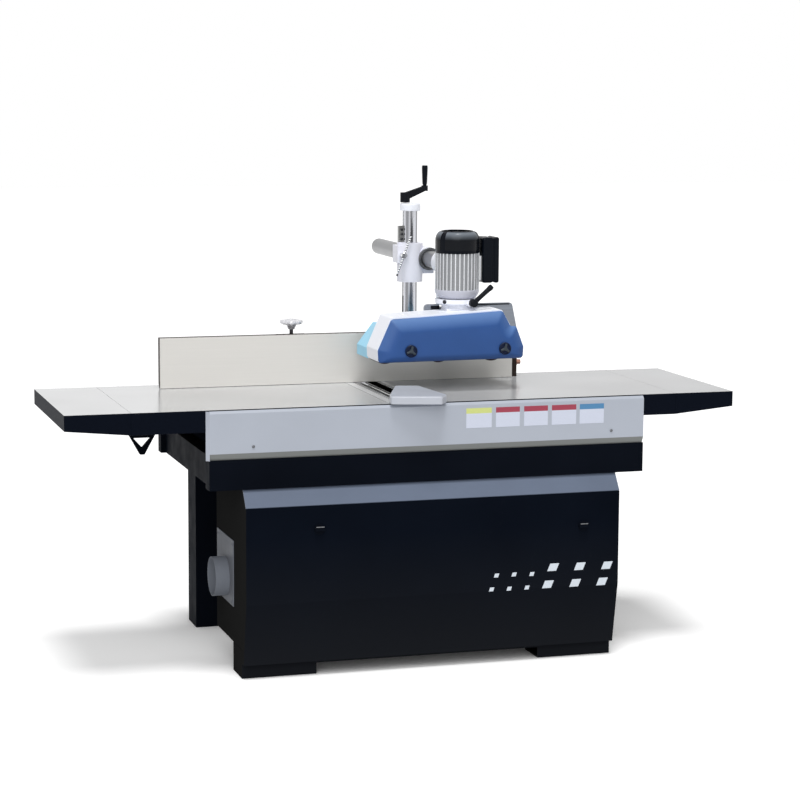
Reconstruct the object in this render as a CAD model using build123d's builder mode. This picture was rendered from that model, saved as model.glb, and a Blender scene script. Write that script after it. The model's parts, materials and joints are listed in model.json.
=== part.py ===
from build123d import *

import os
from math import cos, hypot, radians, sin

os.makedirs("parts", exist_ok=True)

# Surface planer with a power feeder. X runs along the tables, Z is up, and every
# Y below is measured back from the front edge of the tables.

# Tables
TABLE_TOP = 850.0
TABLE_LENGTH = 2178.0
TABLE_DEPTH = 615.0
TABLE_THICK = 68.0
TABLE_PLATE = 14.0
TABLE_RIB = 14.0
TABLE_BAYS_LONG = 5
TABLE_BAYS_DEEP = 4
EXTENSION_LENGTH = 202.0
EXTENSION_TIP = 49.0
CUT_DEPTH = 8.0

# Cutterhead, with its axis along Y
CUTTER_X = -8.0
KNIFE_RADIUS = 62.0
CUTTER_BODY = 59.0
CUTTER_REACH = 67.0
KNIFE_COUNT = 4
KNIFE_THICK = 4.0
KNIFE_DEPTH = 22.0
GIB_THICK = 9.0
GIB_SINK = 3.0
JOURNAL_RADIUS = 20.0
CUTTER_SIDE_GAP = 6.0
KNIFE_CLEARANCE = 2.5
LIP_THICK = 24.0
OUTFEED_LIP_EDGE = 27.0
INFEED_LIP_EDGE = 40.0
LIP_SLOT = 8.0
LIP_SLOT_DEPTH = 14.0
LIP_SLOT_PITCH = 22.0

# Bed walls that carry the tables and the cutterhead
BED_LEFT = -630.0
BED_RIGHT = 756.0
BED_SETBACK = 20.0
BED_WALL = 40.0
BED_DROP = 4.0
CROSS_WALL = 26.0
CROSS_WALL_OFFSET = 82.0
HOUSING_HALF = 58.0
HOUSING_ARCH = 45.0
HOUSING_DEPTH = 68.0

# Welded frame under the bed
FRAME_LEFT = -649.0
FRAME_RIGHT = 775.0
FRAME_DROP = 155.0
FRAME_HEIGHT = 94.0
FRONT_BEAM_PROUD = 6.0
FRONT_BEAM_DEPTH = 56.0
REAR_BEAM_GAP = 154.0
REAR_BEAM_DEPTH = 46.0
END_BEAM_WIDTH = 50.0
END_BEAM_INSET = 17.0
BEAM_WALL = 4.0

# Rear legs
LEG_WIDTH = 120.0
LEG_DEPTH = 123.0
LEG_PROUD = 23.0
LEG_WALL = 4.0
LEG_ANCHOR = 9.0
LEG_LEFT_X = -477.0
LEG_RIGHT_X = 617.0

# Cabinet
CABINET_LEFT = -543.0
CABINET_RIGHT = 683.0
CABINET_GAP = 15.0
SHEET = 3.0
PANEL_PROUD = 38.0
PANEL_BEND = 245.0
PANEL_FOOT = 46.0
PANEL_CORNER = 6.0
STRIP_HEIGHT = 54.0
STRIP_TOP_Y = 3.0
LATCH_FLANGE = 122.0

# Plinth
PLINTH_HEIGHT = 91.0
PLINTH_FRONT = 25.0
PLINTH_BACK = 143.0
PLINTH_NOSE_LOW = 4.0
PLINTH_NOSE_HIGH = -4.0
PLINTH_NOSE_Z = 47.0
PLINTH_WALL = 4.0
PLINTH_FOOT = 6.0
PLINTH_GAP_LEFT = -303.0
PLINTH_GAP_RIGHT = 434.0
PLINTH_GAP_HEIGHT = 35.0

# Dust outlet
SPOUT_SETBACK = 139.0
SPOUT_Z = 284.0
SPOUT_RADIUS = 62.5
SPOUT_WALL = 2.5
SPOUT_LENGTH = 45.0
SPOUT_PLATE_SPAN = (108.0, 120.0)
SPOUT_PLATE_Z = (206.0, 417.0)
CHUTE_HALF = 126.0
CHUTE_MOUTH = (-103.0, 87.0)
CHUTE_GAP = 3.0
CHUTE_COLLAR = 78.0
CHUTE_KNEE_LOW = -300.0
CHUTE_KNEE_HIGH = -340.0
CHUTE_HEIGHT = 140.0
CHUTE_WALL = 2.0

# Latches on the front panel
LATCH_LEFT_X = -311.0
LATCH_LEFT_DROP = 74.0
LATCH_RIGHT_X = 560.0
LATCH_RIGHT_DROP = 108.0
LATCH_STEM = 7.0
LATCH_DISC = 17.0
LATCH_DISC_THICK = 3.0
LATCH_WING = (30.0, 9.0, 8.0)
LATCH_CAM = (16.0, 34.0, 3.0)

# Apron in front of the tables
APRON_LEFT = -649.0
APRON_RIGHT = 772.0
APRON_PROUD = 12.0
APRON_GAP = 1.0
APRON_FOOT_RISE = 21.0
APRON_HEAD_DROP = 11.0
APRON_RETURN = 45.0

# Gusset under the outfeed table
GUSSET_INSET = 90.0
GUSSET_THICK = 20.0
GUSSET_TOP_WIDTH = 148.0
GUSSET_WAIST = 79.0
GUSSET_WAIST_DROP = 50.0
GUSSET_DROP = 109.0
GUSSET_TIP = 14.0
GUSSET_BAR = 11.0
GUSSET_SLANT_BAR = 27.5
GUSSET_FOOT_BAR = 22.0

# Infeed lift
LIFT_X = 500.0
LIFT_DROP = 47.0
LIFT_SHAFT = 15.0
LIFT_CAM = 26.0
LIFT_OFFSET = 8.0
LIFT_START_ANGLE = 60.0
LIFT_CAM_WIDTH = 30.0
LIFT_PAD_WIDTH = 40.0
LIFT_PAD_LENGTH = 60.0
LIFT_LEVER = 160.0
LIFT_LEVER_THICK = 15.0
LIFT_LEVER_GAP = 45.0
LIFT_LEVER_HUB = 24.0
LIFT_LEVER_BALL = 16.0
LIFT_LEVER_ANGLE = 30.0
GUIDE_RADIUS = 12.0
GUIDE_XS = (200.0, 690.0)
GUIDE_RISE = 10.0

# Cutter drive
PULLEY_GAP = 25.0
PULLEY_WIDTH = 42.0
CUTTER_PULLEY = 40.0
MOTOR_PULLEY = 76.0
BELT_COUNT = 3
BELT_PITCH = 13.0
BELT_WIDTH = 9.0
BELT_THICK = 8.0
GROOVE_WIDTH = 10.0
GROOVE_DEPTH = 9.0
BELT_SEAT = 0.5
MOTOR_RADIUS = 100.0
MOTOR_LENGTH = 210.0
MOTOR_GAP = 20.0
MOTOR_AXIS_RISE = 110.0
MOTOR_FOOT_INSET = 30.0
MOTOR_FOOT_HALF = 90.0
MOTOR_FOOT_HEIGHT = 26.0
MOTOR_SHAFT = 14.0
MOTOR_SHAFT_SINK = 40.0
SHELF_HALF = 112.0
SHELF_THICK = 8.0
SHELF_TOP = 190.0
SHELF_FLANGE = 110.0
BELT_GUARD_HALF = 102.0
BELT_GUARD_LEAD = 3.0
BELT_GUARD_SPARE = 14.0
BELT_GUARD_RISE = 52.0
GUARD_EAR = 10.0
GUARD_EAR_RISE = (5.0, 65.0)

# Start and stop station on the right end of the cabinet
STATION_Y = (120.0, 220.0)
STATION_Z = (380.0, 520.0)
STATION_DEPTH = 52.0
BUTTON_STEM = 8.0
BUTTON_SINK = 20.0
BUTTON_TRAVEL = 4.0
START_RADIUS = 14.0
START_Z = 482.0
STOP_RADIUS = 20.0
STOP_Z = 422.0
BUTTON_CAP = 10.0

# Swinging cutter guard
GUARD_OUTLINE = [(-80.0, -25.0), (75.0, -66.0), (104.0, -20.0),
                 (82.0, 202.0), (8.0, 221.0), (-68.0, 27.0)]
GUARD_THICK = 25.0
GUARD_CLEARANCE = 1.0
GUARD_CORNER = 9.0
GUARD_EDGE = 3.0
GUARD_PIN = 8.0
GUARD_BOSS = 12.0
GUARD_PIN_SINK = 19.0

# Fence
FENCE_LEFT = -697.0
FENCE_RIGHT = 510.0
FENCE_SETBACK = 105.0
FENCE_PLATE = 10.0
FENCE_BACK = 20.0
FENCE_HEIGHT = 164.0
FENCE_CLEARANCE = 1.0
FENCE_BACK_OVERHANG = 20.0
FENCE_BACK_CUT = 14.0
FENCE_BACK_WALL = 4.0
CARRIAGE_XS = (-248.0, 390.0)
CARRIAGE_WIDTH = 96.0
CARRIAGE_DEPTH = 32.0
CARRIAGE_RISE = 6.0
CARRIAGE_HEIGHT = 156.0
ROD_RADIUS = 10.0
ROD_SPREAD = 30.0
ROD_RISE = 35.0
ROD_TAIL = 90.0
POST_GAP = 25.0
POST_DEPTH = 50.0
POST_WIDTH = 100.0
POST_RISE = 5.0
POST_HEAD = 20.0
POST_FOOT_HEIGHT = 60.0
FENCE_KNOB_STEM = 8.0
FENCE_KNOB_SINK = 28.0
FENCE_KNOB_RADIUS = 37.5
FENCE_KNOB_RISE = 23.0
FENCE_KNOB_HEIGHT = 21.0
FENCE_KNOB_NECK = 12.0
FENCE_KNOB_CROWN = 20.0
FENCE_KNOB_RIM = (8.0, 14.0)

# Feeder stand
COLUMN_X = 192.0
COLUMN_GAP = 65.0
COLUMN_RADIUS = 25.0
COLUMN_SPARE = 51.0
COLUMN_GROOVE_HALF = 7.8
COLUMN_GROOVE_DEPTH = 17.0
BASE_PLATE_HALF = 80.0
BASE_PLATE_THICK = 18.0
BASE_BOSS = 42.0
BASE_BOSS_HEIGHT = 90.0
SCREW_OFFSET = 18.0
SCREW_RADIUS = 6.0
SCREW_LENGTH = 288.0
CAP_RADIUS = 35.0
CAP_HEIGHT = 25.0
CAP_EDGE = 3.0
CRANK_GAP = 3.0
CRANK_HUB = 16.5
CRANK_HUB_HEIGHT = 33.0
CRANK_REACH = 69.0
CRANK_ARM_WIDTH = 18.0
CRANK_ARM_ROOT = 27.0
CRANK_ARM_DEPTH = 18.0
CRANK_ARM_RISE = 30.0
CRANK_EYE = 11.0
GRIP_RADIUS = 10.0
GRIP_LENGTH = 68.0
GRIP_SPINDLE = 4.0
GRIP_CAP = 3.0
GRIP_EDGE = 2.5

# Crosshead and overarm; spans are given before and after the axis that they hold
CROSSHEAD_DROP = 78.0
CROSSHEAD_RISE = 53.0
CROSSHEAD_RADIUS = 43.5
ARM_OFFSET = 57.0
ARM_RADIUS = 28.0
ARM_WALL = 5.0
ARM_REAR = 558.0
ARM_SLEEVE = 38.5
ARM_SLEEVE_SPAN = (36.0, 70.0)
CROSSHEAD_WEB = 36.0
CLAMP_LUG_OUT = (52.0, 12.0)
CLAMP_LUG_HALF = 28.0
CLAMP_LUG_SPAN = (13.0, 45.0)
CLAMP_OFFSET = 38.0
CLAMP_RISE = 15.0
CLAMP_RADIUS = 7.0
CLAMP_SPAN = (64.0, 20.0)
CLAMP_HEAD = 10.0
CLAMP_HEAD_LENGTH = 14.0
TBAR_RADIUS = 4.0
TBAR_LENGTH = 136.0
TBAR_ANGLE = 20.0
ARM_LUG_WIDTH = 50.0
ARM_LUG_SPAN = (10.0, 50.0)
ARM_LUG_DROP = (52.0, 27.0)
NUT_WIDTH = 14.0
NUT_OUT = (42.0, 10.0)
NUT_HEIGHT = 57.0
NUT_ROOT = 12.0

# Feeder head, hung from the front end of the overarm; the outlines give X and the height above the tables
COVER_DEPTH = 24.0
BODY_SETBACK = 292.0
BODY_DEPTH = 122.0
REAR_COVER_DEPTH = 120.0
COVER_SHAPE = [(-49.0, 100.0), (-51.0, 140.0), (-7.0, 238.0), (368.0, 258.0),
               (396.0, 207.0), (415.0, 208.0), (441.0, 140.0), (439.0, 103.0)]
BODY_SHAPE = [(-50.0, 101.0), (-52.0, 141.0), (-6.0, 246.0), (367.0, 262.0),
              (399.0, 206.0), (439.0, 140.0), (438.0, 104.0)]
REAR_SHAPE = [(-50.0, 101.0), (-50.0, 135.0), (4.0, 206.0), (400.0, 206.0), (434.0, 150.0), (434.0, 101.0)]
COVER_CORNER = 11.0
COVER_EDGE = 8.0
COVER_WALL = 3.0
BODY_WALL = 7.0
BODY_BACK_WALL = 12.0
PAD_HALF = 50.0
PAD_SETBACK = 57.0
PAD_RISE = 262.0
PAD_DEPTH = 34.0
FRAME_PLATE_SPAN = (104.0, 198.0)
FRAME_PLATE_NOTCH = 53.0
FRAME_PLATE_RISE = 9.0
FRAME_PLATE_GAP = 4.0
FRAME_PLATE_THICK = 14.0
FRAME_PLATE_LEG = 24.0
FRAME_PLATE_FLANK = 37.0
FRAME_PLATE_FLARE = 18.0
FRAME_PLATE_BAR = 18.0
FRAME_PLATE_DROP = 76.0
FRAME_PLATE_CORNER = 12.0
BRACKET_NECK = 50.0
BRACKET_FLANGE = 71.0
BRACKET_FLANGE_THICK = 14.0
BRACKET_FOOT_HEIGHT = 29.0
BRACKET_REACH = 112.0
BRACKET_POST_HALF = 30.0
BRACKET_POST_DEPTH = 47.0
BRACKET_POST_HEIGHT = 106.0
BRACKET_BOSS = 40.0
BRACKET_BOSS_REACH = (85.0, 140.0)
BRACKET_BOSS_FLOOR = 5.0
COVER_KNOB_XS = (53.0, 370.0)
COVER_KNOB_RISE = 138.0
COVER_KNOB_RADIUS = 20.0
COVER_KNOB_HEIGHT = 12.0
COVER_KNOB_STEM = 5.0
COVER_KNOB_SINK = 16.0
COVER_KNOB_WING = 8.0
COVER_KNOB_RIM = 3.0
ROLLER_XS = (14.0, 197.0, 380.0)
ROLLER_RISE = 126.0
ROLLER_RADIUS = 47.0
ROLLER_GAP = 12.0
ROLLER_WIDTH = 96.0
ROLLER_HUB = 26.0
ROLLER_HUB_PROUD = 5.0
ROLLER_GROOVE = 3.0
ROLLER_LANDS = 7
AXLE_RADIUS = 9.0
AXLE_SINK = 40.0
FEEDER_MOTOR_SETBACK = 107.0
FEEDER_MOTOR_CORE = 62.0
FEEDER_MOTOR_FINS = 72.5
FEEDER_MOTOR_FIN = 3.5
FEEDER_MOTOR_FIN_COUNT = 32
FEEDER_BELL = 66.0
FEEDER_BELL_HEIGHT = 26.0
FEEDER_FINS_HEIGHT = 123.0
FAN_COVER_HEIGHT = 72.0
FAN_COVER_RADIUS = 72.0
FAN_COVER_EDGE = 16.0
SWITCH_OFFSET = 75.0
SWITCH_WIDTH = 57.0
SWITCH_HALF = 40.0
SWITCH_RISE = 51.0
SWITCH_HEIGHT = 149.0
SWITCH_CORNER = 12.0
SWITCH_PAD_HALF = 25.0
SWITCH_PAD_RISE = (59.0, 139.0)
TILT_LEVER_OFFSET = 30.0
TILT_LEVER_RISE = 20.0
TILT_LUG_HALF = 14.0
TILT_LUG_REACH = 73.0
TILT_LEVER_HUB = 11.0
TILT_LEVER_HUB_LENGTH = 18.0
TILT_LEVER_STEM = 5.0
TILT_LEVER_SINK = 22.0
TILT_LEVER_REACH = (58.0, 50.0)
TILT_LEVER_BAR = 5.5
TILT_LEVER_TIP = 8.0

# Clearances
RUNNING = 0.05
WELD_GAP = 0.2
LOOSE = 0.3
REACH = 1.0


def around(middle, span):
    """Return the low and high ends of a span given before and after its middle."""
    return (middle - span[0], middle + span[1])


def above_table(points):
    """Return (x, z) points from points that give the height above the tables."""
    return [(x, TABLE_TOP + height) for x, height in points]


# Places along the tables and the bed, worked out from the sizes above
TABLE_LEFT = -TABLE_LENGTH / 2
TABLE_RIGHT = TABLE_LENGTH / 2
TABLE_UNDER = TABLE_TOP - TABLE_THICK
OUTFEED_X = (TABLE_LEFT + EXTENSION_LENGTH, CUTTER_X - CUTTER_REACH)
INFEED_X = (CUTTER_X + CUTTER_REACH, TABLE_RIGHT - EXTENSION_LENGTH)
CUTTER_Z = TABLE_TOP - KNIFE_RADIUS
FRONT_WALL_Y = (BED_SETBACK, BED_SETBACK + BED_WALL)
REAR_WALL_Y = (TABLE_DEPTH - BED_SETBACK - BED_WALL, TABLE_DEPTH - BED_SETBACK)
CUTTER_Y = (FRONT_WALL_Y[1] + CUTTER_SIDE_GAP, REAR_WALL_Y[0] - CUTTER_SIDE_GAP)
INFEED_WALL_TOP = TABLE_UNDER - CUT_DEPTH - BED_DROP
HOUSING_SEAT = CUTTER_Z - HOUSING_DEPTH
FRAME_TOP = TABLE_TOP - FRAME_DROP
FRAME_UNDER = FRAME_TOP - FRAME_HEIGHT
FRONT_BEAM_Y = (-FRONT_BEAM_PROUD, FRONT_BEAM_DEPTH - FRONT_BEAM_PROUD)
REAR_BEAM_Y = REAR_WALL_Y[1] + REAR_BEAM_GAP
LEG_Y = REAR_BEAM_Y - LEG_PROUD
GUSSET_X = OUTFEED_X[0] + GUSSET_INSET
APRON_LOW_BEND = FRAME_TOP + APRON_FOOT_RISE
APRON_HIGH_BEND = TABLE_TOP - APRON_HEAD_DROP
LIFT_Z = TABLE_UNDER - LIFT_DROP
LIFT_LEVER_Y = REAR_WALL_Y[1] + LIFT_LEVER_GAP
GUIDE_FOOT = FRAME_TOP + GUIDE_RISE

# Places in the drive and the cabinet
DRIVE_Z = SHELF_TOP + MOTOR_AXIS_RISE
PULLEY_FRONT = REAR_WALL_Y[1] + PULLEY_GAP
PULLEY_Y = (PULLEY_FRONT, PULLEY_FRONT + PULLEY_WIDTH)
BELT_FIRST = PULLEY_FRONT + PULLEY_WIDTH / 2 - BELT_PITCH * (BELT_COUNT - 1) / 2
BELT_YS = [BELT_FIRST + BELT_PITCH * i for i in range(BELT_COUNT)]
MOTOR_Y = (PULLEY_FRONT - MOTOR_GAP - MOTOR_LENGTH, PULLEY_FRONT - MOTOR_GAP)
MOTOR_FOOT_Y = (MOTOR_Y[0] + MOTOR_FOOT_INSET, MOTOR_Y[1] - MOTOR_FOOT_INSET)
BELT_GUARD_Y = (PULLEY_FRONT - BELT_GUARD_LEAD, PULLEY_Y[1] + BELT_GUARD_SPARE)
BELT_GUARD_TOP = CUTTER_Z + BELT_GUARD_RISE
GUARD_EAR_Z = (FRAME_TOP + GUARD_EAR_RISE[0], FRAME_TOP + GUARD_EAR_RISE[1])
PANEL_INNER = SHEET - PANEL_PROUD
PANEL_TOP = FRAME_UNDER - STRIP_HEIGHT
PANEL_CLEAR_LOW = CABINET_LEFT + SHEET
PANEL_CLEAR_HIGH = CABINET_RIGHT - SHEET
LATCH_FLANGE_FOOT = PANEL_TOP - LATCH_FLANGE
LATCH_LEFT = (LATCH_LEFT_X, PANEL_TOP - LATCH_LEFT_DROP)
LATCH_RIGHT = (LATCH_RIGHT_X, PANEL_TOP - LATCH_RIGHT_DROP)
CABINET_BACK = MOTOR_Y[0] - CABINET_GAP
SPOUT_Y = CABINET_BACK - SPOUT_SETBACK
SPOUT_PLATE_Y = around(SPOUT_Y, SPOUT_PLATE_SPAN)
CHUTE_Y = (SPOUT_Y - CHUTE_HALF, SPOUT_Y + CHUTE_HALF)
CHUTE_TOP = FRAME_UNDER - CHUTE_GAP
CHUTE_NECK = CHUTE_TOP - CHUTE_COLLAR
CHUTE_LOW = SPOUT_Z - CHUTE_HEIGHT / 2
CHUTE_HIGH = SPOUT_Z + CHUTE_HEIGHT / 2

# Places of the guard and the fence
GUARD_Z = (TABLE_TOP + GUARD_CLEARANCE, TABLE_TOP + GUARD_CLEARANCE + GUARD_THICK)
GUARD_PIVOT_Y = (FRONT_WALL_Y[0] + FRONT_WALL_Y[1]) / 2
FENCE_Z = (TABLE_TOP + FENCE_CLEARANCE, TABLE_TOP + FENCE_CLEARANCE + FENCE_HEIGHT)
FENCE_Y = TABLE_DEPTH - FENCE_SETBACK
FENCE_BACK_Y = (FENCE_Y + FENCE_PLATE, FENCE_Y + FENCE_PLATE + FENCE_BACK)
CARRIAGE_BACK = FENCE_BACK_Y[1] + CARRIAGE_DEPTH
CARRIAGE_Z = (TABLE_TOP + CARRIAGE_RISE, TABLE_TOP + CARRIAGE_RISE + CARRIAGE_HEIGHT)
ROD_Z = TABLE_TOP + ROD_RISE
POST_Y = (REAR_WALL_Y[1] + POST_GAP, REAR_WALL_Y[1] + POST_GAP + POST_DEPTH)
POST_Z = (FRAME_TOP + POST_RISE, ROD_Z + POST_HEAD)
ROD_END = POST_Y[1] + ROD_TAIL
FENCE_KNOB_X = CARRIAGE_XS[0]
FENCE_KNOB_Y = FENCE_BACK_Y[1] + CARRIAGE_DEPTH / 2
FENCE_KNOB_Z = CARRIAGE_Z[1] + FENCE_KNOB_RISE

# Places of the feeder
COVER_OUTLINE = above_table(COVER_SHAPE)
BODY_OUTLINE = above_table(BODY_SHAPE)
REAR_OUTLINE = above_table(REAR_SHAPE)
BODY_FRONT = FENCE_Y - BODY_SETBACK
COVER_FRONT = BODY_FRONT - COVER_DEPTH
BODY_BACK = BODY_FRONT + BODY_DEPTH
REAR_COVER_BACK = BODY_BACK + REAR_COVER_DEPTH
COVER_KNOB_Z = TABLE_TOP + COVER_KNOB_RISE
ROLLER_Z = TABLE_TOP + ROLLER_RISE
ROLLER_Y = (BODY_BACK + ROLLER_GAP, BODY_BACK + ROLLER_GAP + ROLLER_WIDTH)
AXLE_FRONT = BODY_BACK - AXLE_SINK
PAD_FRONT = BODY_FRONT + PAD_SETBACK
PAD_TOP = TABLE_TOP + PAD_RISE
FEEDER_MOTOR_Y = BODY_FRONT + FEEDER_MOTOR_SETBACK
BRACKET_BACK = BODY_BACK + BRACKET_REACH
BRACKET_POST_FRONT = BRACKET_BACK - BRACKET_POST_DEPTH
BRACKET_BOSS_Y = (BODY_BACK + BRACKET_BOSS_REACH[0], BODY_BACK + BRACKET_BOSS_REACH[1])
BRACKET_FOOT_TOP = PAD_TOP + BRACKET_FOOT_HEIGHT
ARM_X = COLUMN_X + ARM_OFFSET
ARM_Z = BRACKET_FOOT_TOP + BRACKET_POST_HEIGHT
ARM_FRONT = BRACKET_BOSS_Y[0] + BRACKET_BOSS_FLOOR
FRAME_PLATE_X = around(ARM_X, FRAME_PLATE_SPAN)
FRAME_PLATE_Y = (BODY_BACK + FRAME_PLATE_GAP, BODY_BACK + FRAME_PLATE_GAP + FRAME_PLATE_THICK)
FEEDER_BELL_TOP = BRACKET_FOOT_TOP + FEEDER_BELL_HEIGHT
FEEDER_FINS_TOP = FEEDER_BELL_TOP + FEEDER_FINS_HEIGHT
FAN_COVER_TOP = FEEDER_FINS_TOP + FAN_COVER_HEIGHT
SWITCH_X = (ARM_X + SWITCH_OFFSET, ARM_X + SWITCH_OFFSET + SWITCH_WIDTH)
SWITCH_Y = (FEEDER_MOTOR_Y - SWITCH_HALF, FEEDER_MOTOR_Y + SWITCH_HALF)
SWITCH_Z = (BRACKET_FOOT_TOP + SWITCH_RISE, BRACKET_FOOT_TOP + SWITCH_RISE + SWITCH_HEIGHT)
SWITCH_PAD_Z = (BRACKET_FOOT_TOP + SWITCH_PAD_RISE[0], BRACKET_FOOT_TOP + SWITCH_PAD_RISE[1])
TILT_LEVER_X = ARM_X + TILT_LEVER_OFFSET
TILT_LUG_FRONT = FEEDER_MOTOR_Y - TILT_LUG_REACH
TILT_LEVER_Z = PAD_TOP + TILT_LEVER_RISE

# Places of the feeder's stand
COLUMN_Y = REAR_WALL_Y[1] + COLUMN_GAP
BASE_TOP = FRAME_TOP + BASE_PLATE_THICK
CROSSHEAD_Z = (ARM_Z - CROSSHEAD_DROP, ARM_Z + CROSSHEAD_RISE)
NUT_X = (COLUMN_X - NUT_OUT[0], COLUMN_X - NUT_OUT[1])
NUT_TOP = CROSSHEAD_Z[1] + NUT_HEIGHT
COLUMN_TOP = NUT_TOP + COLUMN_SPARE
SCREW_X = COLUMN_X - SCREW_OFFSET
SCREW_FOOT = COLUMN_TOP - SCREW_LENGTH
CAP_TOP = COLUMN_TOP + CAP_HEIGHT
CRANK_Z = CAP_TOP + CRANK_GAP
GRIP_X = SCREW_X + CRANK_REACH
GRIP_Z = CRANK_Z + CRANK_HUB_HEIGHT / 2 + CRANK_ARM_RISE + CRANK_ARM_DEPTH / 2
ARM_TAIL = COLUMN_Y + ARM_REAR
ARM_SLEEVE_Y = around(COLUMN_Y, ARM_SLEEVE_SPAN)
CLAMP_LUG_X = (COLUMN_X - CLAMP_LUG_OUT[0], COLUMN_X - CLAMP_LUG_OUT[1])
CLAMP_LUG_Y = (COLUMN_Y - CLAMP_LUG_HALF, COLUMN_Y + CLAMP_LUG_HALF)
CLAMP_LUG_Z = around(ARM_Z, CLAMP_LUG_SPAN)
CLAMP_X = COLUMN_X - CLAMP_OFFSET
CLAMP_Y = around(COLUMN_Y, CLAMP_SPAN)
CLAMP_Z = ARM_Z + CLAMP_RISE
ARM_LUG_Y = around(COLUMN_Y, ARM_LUG_SPAN)
ARM_LUG_Z = (ARM_Z - ARM_LUG_DROP[0], ARM_Z - ARM_LUG_DROP[1])

# The footprint runs from the rounded nose of the guard to the tail of the overarm
guard_left, guard_nose, guard_right = [Vector(*point) for point in GUARD_OUTLINE[:3]]
guard_sides = [(guard_left - guard_nose).normalized(), (guard_right - guard_nose).normalized()]
guard_half = radians(guard_sides[0].get_angle(guard_sides[1]) / 2)
guard_rise = (guard_sides[0] + guard_sides[1]).normalized().Y / sin(guard_half) - 1
GUARD_FOREMOST = guard_nose.Y + GUARD_CORNER * guard_rise
FRONT = -(ARM_TAIL + GUARD_FOREMOST) / 2


def block(x, y, z, mode=Mode.ADD):
    """Add a box given by its low and high X, Y and Z."""
    with Locations(((x[0] + x[1]) / 2, FRONT + (y[0] + y[1]) / 2, (z[0] + z[1]) / 2)):
        Box(x[1] - x[0], y[1] - y[0], z[1] - z[0], mode=mode)


def rod_x(y, z, x, radius, mode=Mode.ADD):
    """Add a cylinder along X."""
    with Locations(((x[0] + x[1]) / 2, FRONT + y, z)):
        Cylinder(radius, x[1] - x[0], rotation=(0, 90, 0), mode=mode)


def rod_y(x, z, y, radius, mode=Mode.ADD):
    """Add a cylinder along Y."""
    with Locations((x, FRONT + (y[0] + y[1]) / 2, z)):
        Cylinder(radius, y[1] - y[0], rotation=(90, 0, 0), mode=mode)


def rod_z(x, y, z, radius, mode=Mode.ADD):
    """Add a cylinder along Z."""
    with Locations((x, FRONT + y, (z[0] + z[1]) / 2)):
        Cylinder(radius, z[1] - z[0], mode=mode)


def outline(plane, points, corner=0.0, inset=0.0):
    """Return a closed outline of straight sides on a plane, with rounded corners, less an inset."""
    with BuildSketch(plane) as sketch:
        with BuildLine():
            Polyline(*points, close=True)
        make_face()
        if corner:
            fillet(sketch.vertices(), corner)
        if inset:
            offset(amount=-inset, mode=Mode.REPLACE)
    return sketch.sketch


def plane_y(y):
    """Return the upright plane at a place along Y, which faces the front."""
    return Plane.XZ.offset(-FRONT - y)


def prism_x(points, x, corner=0.0, mode=Mode.ADD):
    """Extrude an outline of (y, z) points along X."""
    face = outline(Plane.YZ.offset(x[0]), [(FRONT + y, z) for y, z in points], corner)
    extrude(face, amount=x[1] - x[0], mode=mode)


def prism_y(points, y, corner=0.0, inset=0.0, mode=Mode.ADD):
    """Extrude an outline of (x, z) points along Y."""
    extrude(outline(plane_y(y[0]), points, corner, inset), amount=y[0] - y[1], mode=mode)


def prism_z(points, z, corner=0.0, mode=Mode.ADD):
    """Extrude an outline of (x, y) points along Z."""
    face = outline(Plane.XY.offset(z[0]), [(x, FRONT + y) for x, y in points], corner)
    extrude(face, amount=z[1] - z[0], mode=mode)


def sheet_x(path, x, thickness, bend=0.0):
    """Extrude a bent sheet along X; the path is its outer face and the metal lies to the right of it."""
    points = [(FRONT + y, z) for y, z in path]
    with BuildSketch(Plane.YZ.offset(x[0])) as section:
        with BuildLine():
            if bend:
                FilletPolyline(*points, radius=bend)
            else:
                Polyline(*points)
            offset(amount=thickness, side=Side.RIGHT)
        make_face()
    extrude(section.sketch, amount=x[1] - x[0])


def belt_loop(y, cutter_radius, motor_radius, mode=Mode.ADD):
    """Extrude the loop that wraps the cutter pulley and the motor pulley."""
    with BuildSketch(plane_y(y[0])) as loop:
        with Locations((CUTTER_X, CUTTER_Z)):
            Circle(cutter_radius)
        with Locations((CUTTER_X, DRIVE_Z)):
            Circle(motor_radius)
        make_hull()
    extrude(loop.sketch, amount=y[0] - y[1], mode=mode)


def ring_groove(x, z, y, radius, width, depth):
    """Cut a groove around a cylinder along Y, centred on a place along it."""
    with BuildSketch(plane_y(y - width / 2)) as ring:
        with Locations((x, z)):
            Circle(radius + REACH)
            Circle(radius - depth, mode=Mode.SUBTRACT)
    extrude(ring.sketch, amount=-width, mode=Mode.SUBTRACT)


def pulley(z, radius):
    """Add a grooved pulley about a Y axis."""
    rod_y(CUTTER_X, z, PULLEY_Y, radius)
    for y in BELT_YS:
        ring_groove(CUTTER_X, z, y, radius, GROOVE_WIDTH, GROOVE_DEPTH)


def table_casting(x):
    """Add a main table with ribbed bays under its plate."""
    block(x, (0, TABLE_DEPTH), (TABLE_UNDER, TABLE_TOP))
    bay_x = (x[1] - x[0] - (TABLE_BAYS_LONG + 1) * TABLE_RIB) / TABLE_BAYS_LONG
    bay_y = (TABLE_DEPTH - (TABLE_BAYS_DEEP + 1) * TABLE_RIB) / TABLE_BAYS_DEEP
    depth = TABLE_THICK - TABLE_PLATE
    with Locations(((x[0] + x[1]) / 2, FRONT + TABLE_DEPTH / 2, TABLE_UNDER + depth / 2)):
        with GridLocations(bay_x + TABLE_RIB, bay_y + TABLE_RIB, TABLE_BAYS_LONG, TABLE_BAYS_DEEP):
            Box(bay_x, bay_y, depth, mode=Mode.SUBTRACT)


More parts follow.
